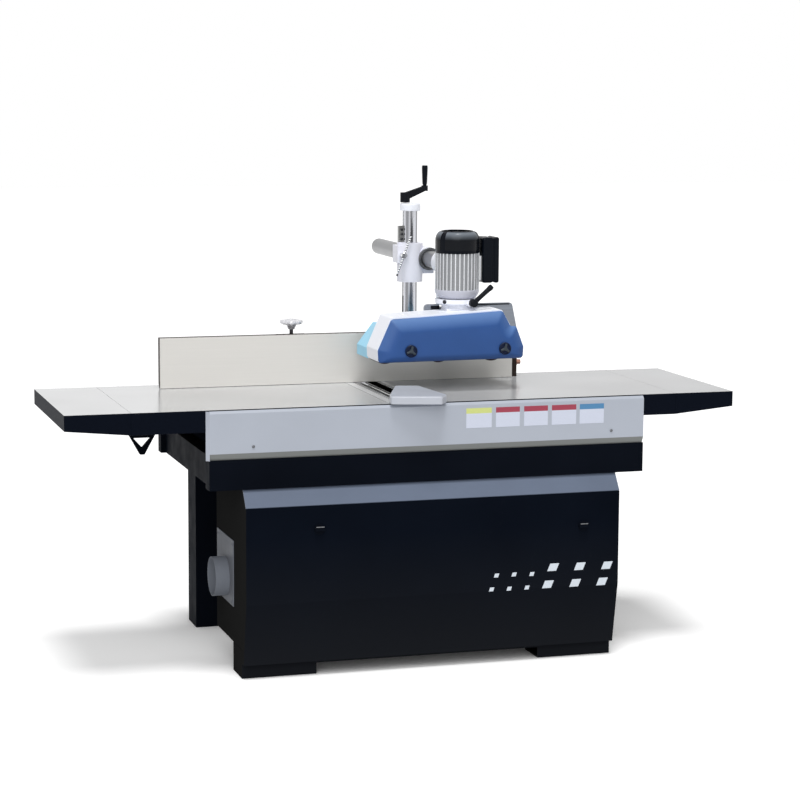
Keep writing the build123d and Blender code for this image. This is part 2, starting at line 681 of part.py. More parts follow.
def table_extension(joint, tip):
    """Add a tapered table extension between its joint and its tip."""
    side = 1 if tip > joint else -1
    prism_y([(joint, TABLE_TOP), (tip, TABLE_TOP), (tip, TABLE_TOP - EXTENSION_TIP), (joint, TABLE_UNDER)],
            (0, TABLE_DEPTH))
    inner = (joint + side * TABLE_RIB, tip - side * TABLE_RIB)
    floor = TABLE_TOP - TABLE_PLATE
    bay = (TABLE_DEPTH - 3 * TABLE_RIB) / 2
    for y in (TABLE_RIB, 2 * TABLE_RIB + bay):
        block((min(inner), max(inner)), (y, y + bay), (TABLE_UNDER - REACH, floor), mode=Mode.SUBTRACT)


def lip(root, edge, rise):
    """Add a slotted table lip, hollowed to clear the knives up to a rise of the cutter."""
    side = 1 if edge > root else -1
    across = (-REACH, TABLE_DEPTH + REACH)
    block((min(root, edge), max(root, edge)), (0, TABLE_DEPTH), (TABLE_TOP - LIP_THICK, TABLE_TOP))
    for lift in (0, rise):
        rod_y(CUTTER_X, CUTTER_Z + lift, across, KNIFE_RADIUS + KNIFE_CLEARANCE, mode=Mode.SUBTRACT)
    count = int(TABLE_DEPTH / LIP_SLOT_PITCH)
    with Locations((edge - side * LIP_SLOT_DEPTH / 2, FRONT + TABLE_DEPTH / 2, TABLE_TOP - LIP_THICK / 2)):
        with GridLocations(1, LIP_SLOT_PITCH, 1, count):
            Box(LIP_SLOT_DEPTH, LIP_SLOT, LIP_THICK, mode=Mode.SUBTRACT)


def latch(place):
    """Add a quarter-turn latch: disc, wing, stem and the cam behind the flange."""
    x, z = place
    disc_front = -PANEL_PROUD - LATCH_DISC_THICK
    flange_back = PANEL_INNER + SHEET + LOOSE
    width, height, depth = LATCH_WING
    cam_width, cam_height, cam_thick = LATCH_CAM
    rod_y(x, z, (disc_front, -PANEL_PROUD), LATCH_DISC)
    block((x - width / 2, x + width / 2), (disc_front - depth, disc_front),
          (z - height / 2, z + height / 2))
    rod_y(x, z, (disc_front, flange_back + cam_thick), LATCH_STEM)
    block((x - cam_width / 2, x + cam_width / 2), (flange_back, flange_back + cam_thick),
          (z, z + cam_height))


def latch_holes(y):
    """Cut the two latch holes through a sheet."""
    for x, z in (LATCH_LEFT, LATCH_RIGHT):
        rod_y(x, z, y, LATCH_STEM + RUNNING, mode=Mode.SUBTRACT)


def cover_knob(x):
    """Add a cover knob: a round head with a wing on its face and a stem."""
    face = COVER_FRONT - COVER_KNOB_HEIGHT
    wing = COVER_KNOB_RADIUS - COVER_KNOB_RIM
    rod_y(x, COVER_KNOB_Z, (face + COVER_KNOB_WING / 2, COVER_FRONT), COVER_KNOB_RADIUS)
    block((x - wing, x + wing), (face, COVER_FRONT),
          (COVER_KNOB_Z - COVER_KNOB_WING / 2, COVER_KNOB_Z + COVER_KNOB_WING / 2))
    rod_y(x, COVER_KNOB_Z, (COVER_FRONT, COVER_FRONT + COVER_KNOB_SINK), COVER_KNOB_STEM)


def feed_roller(x):
    """Add a grooved rubber roller with its hub and axle."""
    rod_y(x, ROLLER_Z, ROLLER_Y, ROLLER_RADIUS)
    pitch = (ROLLER_Y[1] - ROLLER_Y[0]) / ROLLER_LANDS
    for i in range(1, ROLLER_LANDS):
        ring_groove(x, ROLLER_Z, ROLLER_Y[0] + pitch * i, ROLLER_RADIUS, ROLLER_GROOVE, ROLLER_GROOVE)
    hub = (ROLLER_Y[0] - ROLLER_HUB_PROUD, ROLLER_Y[1] + ROLLER_HUB_PROUD)
    rod_y(x, ROLLER_Z, hub, ROLLER_HUB)
    rod_y(x, ROLLER_Z, (AXLE_FRONT, ROLLER_Y[0]), AXLE_RADIUS)


def save(piece, name):
    """Label a finished piece and write its STEP file."""
    piece.part.label = name
    export_step(piece.part, f"parts/{name}.step")


# Plinth: a folded base, open at the back, with a gap under its middle
with BuildPart() as plinth:
    prism_x([(PLINTH_FRONT, 0), (PLINTH_BACK, 0), (PLINTH_BACK, PLINTH_HEIGHT),
             (PLINTH_NOSE_HIGH, PLINTH_HEIGHT), (PLINTH_NOSE_LOW, PLINTH_NOSE_Z),
             (PLINTH_FRONT, PLINTH_NOSE_Z)], (CABINET_LEFT, CABINET_RIGHT))
    block((CABINET_LEFT + PLINTH_WALL, CABINET_RIGHT - PLINTH_WALL),
          (PLINTH_FRONT + PLINTH_WALL, PLINTH_BACK), (PLINTH_FOOT, PLINTH_HEIGHT - PLINTH_WALL),
          mode=Mode.SUBTRACT)
    block((PLINTH_GAP_LEFT, PLINTH_GAP_RIGHT), (PLINTH_FRONT - REACH, PLINTH_BACK),
          (0, PLINTH_GAP_HEIGHT), mode=Mode.SUBTRACT)
save(plinth, "plinth")

# Cabinet panels: two ends, the back and the floor
strip_run = STRIP_TOP_Y + PANEL_PROUD
strip_rise = FRAME_UNDER - PANEL_TOP
strip_length = hypot(strip_run, strip_rise)
slope_top_y = STRIP_TOP_Y + SHEET * strip_length / strip_rise
slope_foot_z = PANEL_TOP + SHEET * strip_rise / strip_run - SHEET * strip_length / strip_run
foot_run = PANEL_PROUD
foot_fall = PANEL_BEND - PANEL_FOOT
foot_length = hypot(foot_run, foot_fall)
bend_inner_z = PANEL_BEND + SHEET * (foot_length - foot_fall) / foot_run
panel_inner_y = PANEL_INNER + (bend_inner_z - PLINTH_HEIGHT) * foot_run / foot_fall
bend_below_y = PANEL_INNER + PANEL_CORNER * foot_run / foot_length
bend_below_z = bend_inner_z - PANEL_CORNER * foot_fall / foot_length
END_OUTLINE = [(CABINET_BACK, PLINTH_HEIGHT), (CABINET_BACK, FRAME_UNDER), (slope_top_y, FRAME_UNDER),
               (PANEL_INNER, slope_foot_z), (PANEL_INNER, bend_inner_z + PANEL_CORNER),
               (bend_below_y, bend_below_z), (panel_inner_y, PLINTH_HEIGHT)]
with BuildPart() as cabinet_panels:
    prism_x(END_OUTLINE, (CABINET_LEFT, CABINET_LEFT + SHEET))
    rod_x(SPOUT_Y, SPOUT_Z, (CABINET_LEFT, CABINET_LEFT + SHEET), SPOUT_RADIUS - SPOUT_WALL,
          mode=Mode.SUBTRACT)
    prism_x(END_OUTLINE, (CABINET_RIGHT - SHEET, CABINET_RIGHT))
    inside = (PANEL_CLEAR_LOW + WELD_GAP, PANEL_CLEAR_HIGH - WELD_GAP)
    block(inside, (CABINET_BACK - SHEET, CABINET_BACK),
          (PLINTH_HEIGHT + SHEET + WELD_GAP, FRAME_UNDER))
    block(inside, (PLINTH_FRONT, CABINET_BACK - SHEET), (PLINTH_HEIGHT, PLINTH_HEIGHT + SHEET))
save(cabinet_panels, "cabinet_panels")

# Front panel: one lift-off sheet with a soft bend
with BuildPart() as front_panel:
    sheet_x([(0, PANEL_FOOT), (-PANEL_PROUD, PANEL_BEND), (-PANEL_PROUD, PANEL_TOP)],
            (CABINET_LEFT, CABINET_RIGHT), SHEET, PANEL_CORNER)
    latch_holes((-PANEL_PROUD - REACH, PANEL_INNER + REACH))
save(front_panel, "front_panel")

# Trim strip above the panel, with the flange that the latches hold
with BuildPart() as trim_strip:
    strip_start = SHEET * strip_run / strip_length
    sheet_x([(-PANEL_PROUD + strip_start * strip_run / strip_rise, PANEL_TOP + strip_start),
             (STRIP_TOP_Y, FRAME_UNDER)], (CABINET_LEFT, CABINET_RIGHT), SHEET)
    block((PANEL_CLEAR_LOW + LOOSE, PANEL_CLEAR_HIGH - LOOSE), (PANEL_INNER, PANEL_INNER + SHEET),
          (LATCH_FLANGE_FOOT, slope_foot_z + SHEET))
    latch_holes((PANEL_INNER - REACH, PANEL_INNER + SHEET + REACH))
save(trim_strip, "trim_strip")

with BuildPart() as latch_left:
    latch(LATCH_LEFT)
save(latch_left, "latch_left")

with BuildPart() as latch_right:
    latch(LATCH_RIGHT)
save(latch_right, "latch_right")

# Dust outlet: a flanged pipe on the left end
with BuildPart() as dust_spout:
    block((CABINET_LEFT - SHEET, CABINET_LEFT), SPOUT_PLATE_Y, SPOUT_PLATE_Z)
    rod_x(SPOUT_Y, SPOUT_Z, (CABINET_LEFT - SHEET - SPOUT_LENGTH, CABINET_LEFT), SPOUT_RADIUS)
    rod_x(SPOUT_Y, SPOUT_Z, (CABINET_LEFT - SHEET - SPOUT_LENGTH - REACH, CABINET_LEFT + REACH),
          SPOUT_RADIUS - SPOUT_WALL, mode=Mode.SUBTRACT)
save(dust_spout, "dust_spout")

# Chip chute from under the cutterhead to the outlet
with BuildPart() as dust_chute:
    prism_y([(CHUTE_MOUTH[0], CHUTE_TOP), (CHUTE_MOUTH[1], CHUTE_TOP), (CHUTE_MOUTH[1], CHUTE_NECK),
             (CHUTE_KNEE_LOW, CHUTE_LOW), (PANEL_CLEAR_LOW, CHUTE_LOW), (PANEL_CLEAR_LOW, CHUTE_HIGH),
             (CHUTE_KNEE_HIGH, CHUTE_HIGH), (CHUTE_MOUTH[0], CHUTE_NECK)], CHUTE_Y)
    mouth = (CHUTE_MOUTH[0] + CHUTE_WALL, CHUTE_MOUTH[1] - CHUTE_WALL)
    duct = (CHUTE_LOW + CHUTE_WALL, CHUTE_HIGH - CHUTE_WALL)
    prism_y([(mouth[0], CHUTE_TOP + REACH), (mouth[1], CHUTE_TOP + REACH), (mouth[1], CHUTE_NECK + REACH),
             (CHUTE_KNEE_LOW - REACH, duct[0]), (PANEL_CLEAR_LOW - REACH, duct[0]),
             (PANEL_CLEAR_LOW - REACH, duct[1]), (CHUTE_KNEE_HIGH + REACH, duct[1]),
             (mouth[0], CHUTE_NECK - REACH)],
            (CHUTE_Y[0] + CHUTE_WALL, CHUTE_Y[1] - CHUTE_WALL), mode=Mode.SUBTRACT)
save(dust_chute, "dust_chute")

# Rear legs: two box tubes
with BuildPart() as rear_legs:
    for x in (LEG_LEFT_X, LEG_RIGHT_X):
        block((x - LEG_WIDTH / 2, x + LEG_WIDTH / 2), (LEG_Y, LEG_Y + LEG_DEPTH), (0, FRAME_UNDER))
        block((x - LEG_WIDTH / 2 + LEG_WALL, x + LEG_WIDTH / 2 - LEG_WALL),
              (LEG_Y + LEG_WALL, LEG_Y + LEG_DEPTH - LEG_WALL), (LEG_WALL, FRAME_UNDER - LEG_WALL),
              mode=Mode.SUBTRACT)
        rod_z(x, LEG_Y + LEG_DEPTH / 2, (0, LEG_WALL), LEG_ANCHOR, mode=Mode.SUBTRACT)
save(rear_legs, "rear_legs")

# Frame: front channel, rear channel and two end beams
with BuildPart() as base_frame:
    for y in (FRONT_BEAM_Y, (REAR_BEAM_Y, REAR_BEAM_Y + REAR_BEAM_DEPTH)):
        block((FRAME_LEFT, FRAME_RIGHT), y, (FRAME_UNDER, FRAME_TOP))
        block((FRAME_LEFT + BEAM_WALL, FRAME_RIGHT - BEAM_WALL), (y[0] + BEAM_WALL, y[1]),
              (FRAME_UNDER + BEAM_WALL, FRAME_TOP - BEAM_WALL), mode=Mode.SUBTRACT)
    for x in (FRAME_LEFT + END_BEAM_INSET, FRAME_RIGHT - END_BEAM_INSET - END_BEAM_WIDTH):
        block((x, x + END_BEAM_WIDTH), (FRONT_BEAM_Y[1] + WELD_GAP, REAR_BEAM_Y - WELD_GAP),
              (FRAME_UNDER, FRAME_TOP))
save(base_frame, "base_frame")

# Bed: two stepped side walls and two cross walls
with BuildPart() as bed:
    for y in (FRONT_WALL_Y, REAR_WALL_Y):
        prism_y([(BED_LEFT, FRAME_TOP), (BED_RIGHT, FRAME_TOP), (BED_RIGHT, INFEED_WALL_TOP),
                 (CUTTER_X + HOUSING_HALF, INFEED_WALL_TOP), (CUTTER_X + HOUSING_HALF, HOUSING_SEAT),
                 (CUTTER_X - HOUSING_HALF, HOUSING_SEAT), (CUTTER_X - HOUSING_HALF, INFEED_WALL_TOP),
                 (OUTFEED_X[1], INFEED_WALL_TOP), (OUTFEED_X[1], TABLE_UNDER), (BED_LEFT, TABLE_UNDER)], y)
        rod_y(LIFT_X, LIFT_Z, (y[0] - REACH, y[1] + REACH), LIFT_SHAFT + RUNNING, mode=Mode.SUBTRACT)
        for x in GUIDE_XS:
            rod_z(x, (y[0] + y[1]) / 2, (FRAME_TOP, INFEED_WALL_TOP), GUIDE_RADIUS + RUNNING,
                  mode=Mode.SUBTRACT)
    for x in (CUTTER_X - CROSS_WALL_OFFSET - CROSS_WALL, CUTTER_X + CROSS_WALL_OFFSET):
        block((x, x + CROSS_WALL), (FRONT_WALL_Y[1] + WELD_GAP, REAR_WALL_Y[0] - WELD_GAP),
              (FRAME_TOP, INFEED_WALL_TOP))
save(bed, "bed")

# Apron: a folded sheet in front of the tables with returns at its ends
with BuildPart() as apron:
    sheet_x([(-APRON_GAP, FRAME_TOP), (-APRON_PROUD, APRON_LOW_BEND), (-APRON_PROUD, APRON_HIGH_BEND),
             (-APRON_GAP - SHEET, TABLE_TOP - SHEET)], (APRON_LEFT, APRON_RIGHT), SHEET)
    for x in (APRON_LEFT, APRON_RIGHT - SHEET):
        prism_x([(-APRON_GAP - SHEET / 2, FRAME_TOP + SHEET), (-APRON_GAP, FRAME_TOP),
                 (APRON_RETURN, FRAME_TOP), (APRON_RETURN, INFEED_WALL_TOP),
                 (-APRON_GAP, INFEED_WALL_TOP), (-APRON_GAP - SHEET, TABLE_TOP - 2 * SHEET),
                 (-APRON_PROUD + SHEET / 2, APRON_HIGH_BEND), (-APRON_PROUD + SHEET / 2, APRON_LOW_BEND)],
                (x, x + SHEET))
save(apron, "apron")

# Tables, their extensions and the slotted lips beside the cutterhead
with BuildPart() as outfeed_table:
    table_casting(OUTFEED_X)
save(outfeed_table, "outfeed_table")

with BuildPart() as outfeed_extension:
    table_extension(OUTFEED_X[0], TABLE_LEFT)
save(outfeed_extension, "outfeed_extension")

with BuildPart() as outfeed_lip:
    lip(OUTFEED_X[1], CUTTER_X - OUTFEED_LIP_EDGE, 0)
save(outfeed_lip, "outfeed_lip")

cam_top = LIFT_Z + LIFT_OFFSET * cos(radians(LIFT_START_ANGLE)) + LIFT_CAM
cam_x = LIFT_X + LIFT_OFFSET * sin(radians(LIFT_START_ANGLE))
PAD_YS = (FRONT_WALL_Y[1] + LOOSE, REAR_WALL_Y[0] - LOOSE - LIFT_PAD_WIDTH)
with BuildPart() as infeed_table:
    table_casting(INFEED_X)
    for y in PAD_YS:
        block((cam_x - LIFT_PAD_LENGTH / 2, cam_x + LIFT_PAD_LENGTH / 2), (y, y + LIFT_PAD_WIDTH),
              (cam_top + LOOSE, TABLE_TOP - TABLE_PLATE))
    for x in GUIDE_XS:
        for wall in (FRONT_WALL_Y, REAR_WALL_Y):
            rod_z(x, (wall[0] + wall[1]) / 2, (GUIDE_FOOT, TABLE_TOP - TABLE_PLATE), GUIDE_RADIUS)
save(infeed_table, "infeed_table")

with BuildPart() as infeed_extension:
    table_extension(INFEED_X[1], TABLE_RIGHT)
save(infeed_extension, "infeed_extension")

with BuildPart() as infeed_lip:
    lip(INFEED_X[0], CUTTER_X + INFEED_LIP_EDGE, CUT_DEPTH)
save(infeed_lip, "infeed_lip")

# Gusset under the outfeed table, with two windows
gusset_waist_z = TABLE_UNDER - GUSSET_WAIST_DROP
gusset_foot_z = TABLE_UNDER - GUSSET_DROP
gusset_y = ((TABLE_DEPTH - GUSSET_THICK) / 2, (TABLE_DEPTH + GUSSET_THICK) / 2)
window_top = GUSSET_TOP_WIDTH / 2 - GUSSET_SLANT_BAR
window_waist = GUSSET_WAIST / 2 - GUSSET_BAR
with BuildPart() as table_bracket:
    prism_y([(GUSSET_X - GUSSET_TOP_WIDTH / 2, TABLE_UNDER), (GUSSET_X + GUSSET_TOP_WIDTH / 2, TABLE_UNDER),
             (GUSSET_X + GUSSET_WAIST / 2, gusset_waist_z), (GUSSET_X + GUSSET_TIP / 2, gusset_foot_z),
             (GUSSET_X - GUSSET_TIP / 2, gusset_foot_z), (GUSSET_X - GUSSET_WAIST / 2, gusset_waist_z)],
            gusset_y)
    prism_y([(GUSSET_X - window_top, TABLE_UNDER - GUSSET_BAR),
             (GUSSET_X + window_top, TABLE_UNDER - GUSSET_BAR),
             (GUSSET_X + window_waist, gusset_waist_z + GUSSET_BAR / 2),
             (GUSSET_X - window_waist, gusset_waist_z + GUSSET_BAR / 2)], gusset_y, mode=Mode.SUBTRACT)
    prism_y([(GUSSET_X - window_waist, gusset_waist_z - GUSSET_BAR / 2),
             (GUSSET_X + window_waist, gusset_waist_z - GUSSET_BAR / 2),
             (GUSSET_X, gusset_foot_z + GUSSET_FOOT_BAR)], gusset_y, mode=Mode.SUBTRACT)
    block((GUSSET_X - GUSSET_BAR / 2, GUSSET_X + GUSSET_BAR / 2), gusset_y, (gusset_waist_z, TABLE_UNDER))
save(table_bracket, "table_bracket")

# Lift shaft: two eccentrics under the infeed table and a lever at the rear
with BuildPart() as lift_shaft:
    rod_y(LIFT_X, LIFT_Z, (FRONT_WALL_Y[0], LIFT_LEVER_Y + LIFT_LEVER_THICK), LIFT_SHAFT)
    for y in PAD_YS:
        mid = y + LIFT_PAD_WIDTH / 2
        rod_y(cam_x, LIFT_Z + LIFT_OFFSET * cos(radians(LIFT_START_ANGLE)),
              (mid - LIFT_CAM_WIDTH / 2, mid + LIFT_CAM_WIDTH / 2), LIFT_CAM)
    lever_y = (LIFT_LEVER_Y, LIFT_LEVER_Y + LIFT_LEVER_THICK)
    rise = radians(LIFT_LEVER_ANGLE)
    tip = (LIFT_X + LIFT_LEVER * cos(rise), LIFT_Z + LIFT_LEVER * sin(rise))
    side = (-LIFT_SHAFT / 2 * sin(rise), LIFT_SHAFT / 2 * cos(rise))
    rod_y(LIFT_X, LIFT_Z, lever_y, LIFT_LEVER_HUB)
    prism_y([(LIFT_X + side[0], LIFT_Z + side[1]), (LIFT_X - side[0], LIFT_Z - side[1]),
             (tip[0] - side[0], tip[1] - side[1]), (tip[0] + side[0], tip[1] + side[1])], lever_y)
    with Locations((tip[0], FRONT + LIFT_LEVER_Y + LIFT_LEVER_THICK / 2, tip[1])):
        Sphere(LIFT_LEVER_BALL)
save(lift_shaft, "lift_shaft")

# Cutterhead bearings; the front one carries the pin of the swinging guard
with BuildPart() as cutter_bearings:
    for y in (FRONT_WALL_Y, REAR_WALL_Y):
        block((CUTTER_X - HOUSING_HALF, CUTTER_X + HOUSING_HALF), y, (HOUSING_SEAT, CUTTER_Z))
        rod_y(CUTTER_X, CUTTER_Z, y, HOUSING_ARCH)
    rod_z(CUTTER_X, GUARD_PIVOT_Y, (CUTTER_Z + JOURNAL_RADIUS, GUARD_Z[0] - LOOSE), GUARD_BOSS)
    rod_z(CUTTER_X, GUARD_PIVOT_Y, (CUTTER_Z + JOURNAL_RADIUS, GUARD_Z[0] + GUARD_PIN_SINK), GUARD_PIN)
    for y in (FRONT_WALL_Y, REAR_WALL_Y):
        rod_y(CUTTER_X, CUTTER_Z, y, JOURNAL_RADIUS + RUNNING, mode=Mode.SUBTRACT)
save(cutter_bearings, "cutter_bearings")

# Cutterhead with its journals and belt pulley
slot_width = KNIFE_THICK + GIB_THICK
with BuildPart() as cutterhead:
    rod_y(CUTTER_X, CUTTER_Z, CUTTER_Y, CUTTER_BODY)
    with BuildSketch(plane_y(CUTTER_Y[0] - REACH)):
        with Locations((CUTTER_X, CUTTER_Z)):
            with PolarLocations(KNIFE_RADIUS - KNIFE_DEPTH / 2, KNIFE_COUNT):
                Rectangle(KNIFE_DEPTH, slot_width)
    extrude(amount=CUTTER_Y[0] - CUTTER_Y[1] - 2 * REACH, mode=Mode.SUBTRACT)
    rod_y(CUTTER_X, CUTTER_Z, (FRONT_WALL_Y[0], PULLEY_Y[1]), JOURNAL_RADIUS)
    pulley(CUTTER_Z, CUTTER_PULLEY)
save(cutterhead, "cutterhead")

# Knives and the gibs that hold them
with BuildPart() as knives:
    with BuildSketch(plane_y(CUTTER_Y[0])):
        with Locations((CUTTER_X, CUTTER_Z)):
            with PolarLocations(KNIFE_RADIUS - KNIFE_DEPTH / 2, KNIFE_COUNT):
                with Locations((0, -GIB_THICK / 2)):
                    Rectangle(KNIFE_DEPTH, KNIFE_THICK)
            with PolarLocations(KNIFE_RADIUS - KNIFE_DEPTH / 2, KNIFE_COUNT):
                with Locations((-GIB_SINK, KNIFE_THICK / 2)):
                    Rectangle(KNIFE_DEPTH - 2 * GIB_SINK, GIB_THICK)
    extrude(amount=CUTTER_Y[0] - CUTTER_Y[1])
save(knives, "knives")

# Belt drive and motor
with BuildPart() as drive_belts:
    for y in BELT_YS:
        span = (y - BELT_WIDTH / 2, y + BELT_WIDTH / 2)
        inner = BELT_SEAT - GROOVE_DEPTH
        belt_loop(span, CUTTER_PULLEY + inner + BELT_THICK, MOTOR_PULLEY + inner + BELT_THICK)
        belt_loop(span, CUTTER_PULLEY + inner, MOTOR_PULLEY + inner, mode=Mode.SUBTRACT)
save(drive_belts, "drive_belts")

with BuildPart() as motor_pulley:
    pulley(DRIVE_Z, MOTOR_PULLEY)
    rod_y(CUTTER_X, DRIVE_Z, (MOTOR_Y[1] - MOTOR_SHAFT_SINK, PULLEY_Y[1]), MOTOR_SHAFT)
save(motor_pulley, "motor_pulley")

with BuildPart() as main_motor:
    rod_y(CUTTER_X, DRIVE_Z, MOTOR_Y, MOTOR_RADIUS)
    block((CUTTER_X - MOTOR_FOOT_HALF, CUTTER_X + MOTOR_FOOT_HALF), MOTOR_FOOT_Y,
          (SHELF_TOP, SHELF_TOP + MOTOR_FOOT_HEIGHT))
    rod_y(CUTTER_X, DRIVE_Z, (MOTOR_Y[1] - MOTOR_SHAFT_SINK - REACH, MOTOR_Y[1] + REACH),
          MOTOR_SHAFT + RUNNING, mode=Mode.SUBTRACT)
save(main_motor, "main_motor")

with BuildPart() as motor_shelf:
    shelf_x = (CUTTER_X - SHELF_HALF, CUTTER_X + SHELF_HALF)
    block(shelf_x, (CABINET_BACK, PULLEY_FRONT), (SHELF_TOP - SHELF_THICK, SHELF_TOP))
    block(shelf_x, (CABINET_BACK, CABINET_BACK + SHELF_THICK), (SHELF_TOP - SHELF_FLANGE, SHELF_TOP))
    shelf_foot = SHELF_TOP - SHELF_FLANGE
    shelf_under = SHELF_TOP - SHELF_THICK
    for x in (shelf_x[0], shelf_x[1] - SHELF_THICK):
        prism_x([(CABINET_BACK, shelf_foot), (CABINET_BACK + SHELF_THICK, shelf_foot),
                 (PULLEY_FRONT, shelf_under), (CABINET_BACK, shelf_under)],
                (x, x + SHELF_THICK))
save(motor_shelf, "motor_shelf")

with BuildPart() as belt_guard:
    guard_x = (CUTTER_X - BELT_GUARD_HALF, CUTTER_X + BELT_GUARD_HALF)
    block(guard_x, BELT_GUARD_Y, (SHELF_TOP, BELT_GUARD_TOP))
    block((guard_x[0] + SHEET, guard_x[1] - SHEET), (BELT_GUARD_Y[0], BELT_GUARD_Y[1] - SHEET),
          (SHELF_TOP, BELT_GUARD_TOP - SHEET), mode=Mode.SUBTRACT)
    for x in (guard_x[0], guard_x[1] - GUARD_EAR):
        block((x, x + GUARD_EAR), (REAR_WALL_Y[1], BELT_GUARD_Y[0] + GUARD_EAR), GUARD_EAR_Z)
save(belt_guard, "belt_guard")

# Start and stop station
station_mid = (STATION_Y[0] + STATION_Y[1]) / 2
station_face = CABINET_RIGHT + STATION_DEPTH
button_seat = station_face + BUTTON_TRAVEL + LOOSE
with BuildPart() as control_box:
    block((CABINET_RIGHT, station_face), STATION_Y, STATION_Z)
    for z in (START_Z, STOP_Z):
        rod_x(station_mid, z, (station_face - BUTTON_SINK - BUTTON_TRAVEL, station_face + REACH),
              BUTTON_STEM + RUNNING, mode=Mode.SUBTRACT)
save(control_box, "control_box")

with BuildPart() as start_button:
    rod_x(station_mid, START_Z, (station_face - BUTTON_SINK + LOOSE, button_seat), BUTTON_STEM)
    rod_x(station_mid, START_Z, (button_seat, station_face + BUTTON_TRAVEL + BUTTON_CAP), START_RADIUS)
save(start_button, "start_button")

with BuildPart() as stop_button:
    rod_x(station_mid, STOP_Z, (station_face - BUTTON_SINK + LOOSE, button_seat), BUTTON_STEM)
    rod_x(station_mid, STOP_Z, (button_seat, station_face + BUTTON_TRAVEL + BUTTON_CAP), STOP_RADIUS)
save(stop_button, "stop_button")

# Swinging guard over the knives
with BuildPart() as guard:
    prism_z(GUARD_OUTLINE, GUARD_Z, GUARD_CORNER)
    chamfer(guard.faces().sort_by(Axis.Z)[-1].edges(), GUARD_EDGE)
    rod_z(CUTTER_X, GUARD_PIVOT_Y, (GUARD_Z[0], GUARD_Z[0] + GUARD_PIN_SINK + LOOSE), GUARD_PIN + RUNNING,
          mode=Mode.SUBTRACT)
save(guard, "guard")

# Fence: face plate, back channel with its carriages and rods, posts and lock knob
with BuildPart() as fence_plate:
    block((FENCE_LEFT, FENCE_RIGHT), (FENCE_Y, FENCE_BACK_Y[0]), FENCE_Z)
save(fence_plate, "fence_plate")

with BuildPart() as fence_back:
    back_x = (FENCE_LEFT, FENCE_RIGHT + FENCE_BACK_OVERHANG)
    prism_x([(FENCE_BACK_Y[0], FENCE_Z[0]), (FENCE_BACK_Y[0], FENCE_Z[1]), (FENCE_BACK_Y[1], FENCE_Z[1]),
             (FENCE_BACK_Y[1], FENCE_Z[0] + FENCE_BACK_CUT),
             (FENCE_BACK_Y[1] - FENCE_BACK_CUT, FENCE_Z[0])], back_x)
    block((back_x[0] + FENCE_BACK_WALL, back_x[1] - FENCE_BACK_WALL),
          (FENCE_BACK_Y[0] + FENCE_BACK_WALL, FENCE_BACK_Y[1]),
          (FENCE_Z[0] + FENCE_BACK_CUT + FENCE_BACK_WALL, FENCE_Z[1] - FENCE_BACK_WALL), mode=Mode.SUBTRACT)
    for x in CARRIAGE_XS:
        block((x - CARRIAGE_WIDTH / 2, x + CARRIAGE_WIDTH / 2), (FENCE_BACK_Y[0], CARRIAGE_BACK), CARRIAGE_Z)
        for side in (-ROD_SPREAD, ROD_SPREAD):
            rod_y(x + side, ROD_Z, (CARRIAGE_BACK - REACH, ROD_END), ROD_RADIUS)
    rod_z(FENCE_KNOB_X, FENCE_KNOB_Y, (CARRIAGE_Z[1] - FENCE_KNOB_SINK, CARRIAGE_Z[1] + REACH),
          FENCE_KNOB_STEM + RUNNING, mode=Mode.SUBTRACT)
save(fence_back, "fence_back")

with BuildPart() as fence_mounts:
    for x in CARRIAGE_XS:
        post_x = (x - POST_WIDTH / 2, x + POST_WIDTH / 2)
        block(post_x, POST_Y, POST_Z)
        block(post_x, (REAR_WALL_Y[1], POST_Y[0]), (POST_Z[0], POST_Z[0] + POST_FOOT_HEIGHT))
        for side in (-ROD_SPREAD, ROD_SPREAD):
            rod_y(x + side, ROD_Z, (POST_Y[0] - REACH, POST_Y[1] + REACH), ROD_RADIUS + RUNNING,
                  mode=Mode.SUBTRACT)
save(fence_mounts, "fence_mounts")

with BuildPart() as fence_knob:
    stem_z = (CARRIAGE_Z[1] - FENCE_KNOB_SINK + LOOSE, FENCE_KNOB_Z)
    rod_z(FENCE_KNOB_X, FENCE_KNOB_Y, stem_z, FENCE_KNOB_STEM)
    with BuildSketch(plane_y(FENCE_KNOB_Y)):
        with BuildLine():
            Polyline((FENCE_KNOB_X, FENCE_KNOB_Z), (FENCE_KNOB_X + FENCE_KNOB_NECK, FENCE_KNOB_Z),
                     (FENCE_KNOB_X + FENCE_KNOB_RADIUS, FENCE_KNOB_Z + FENCE_KNOB_RIM[0]),
                     (FENCE_KNOB_X + FENCE_KNOB_RADIUS, FENCE_KNOB_Z + FENCE_KNOB_RIM[1]),
                     (FENCE_KNOB_X + FENCE_KNOB_CROWN, FENCE_KNOB_Z + FENCE_KNOB_HEIGHT),
                     (FENCE_KNOB_X, FENCE_KNOB_Z + FENCE_KNOB_HEIGHT), close=True)
        make_face()
    revolve(axis=Axis((FENCE_KNOB_X, FRONT + FENCE_KNOB_Y, 0), (0, 0, 1)))
save(fence_knob, "fence_knob")

# Feeder stand: foot, grooved column, lead screw, cap and crank
with BuildPart() as column_base:
    boss_z = (BASE_TOP, BASE_TOP + BASE_BOSS_HEIGHT)
    block((COLUMN_X - BASE_PLATE_HALF, COLUMN_X + BASE_PLATE_HALF),
          (REAR_WALL_Y[1], REAR_BEAM_Y + REAR_BEAM_DEPTH), (FRAME_TOP, BASE_TOP))
    rod_z(COLUMN_X, COLUMN_Y, boss_z, BASE_BOSS)
    rod_z(COLUMN_X, COLUMN_Y, boss_z, COLUMN_RADIUS + RUNNING, mode=Mode.SUBTRACT)
save(column_base, "column_base")

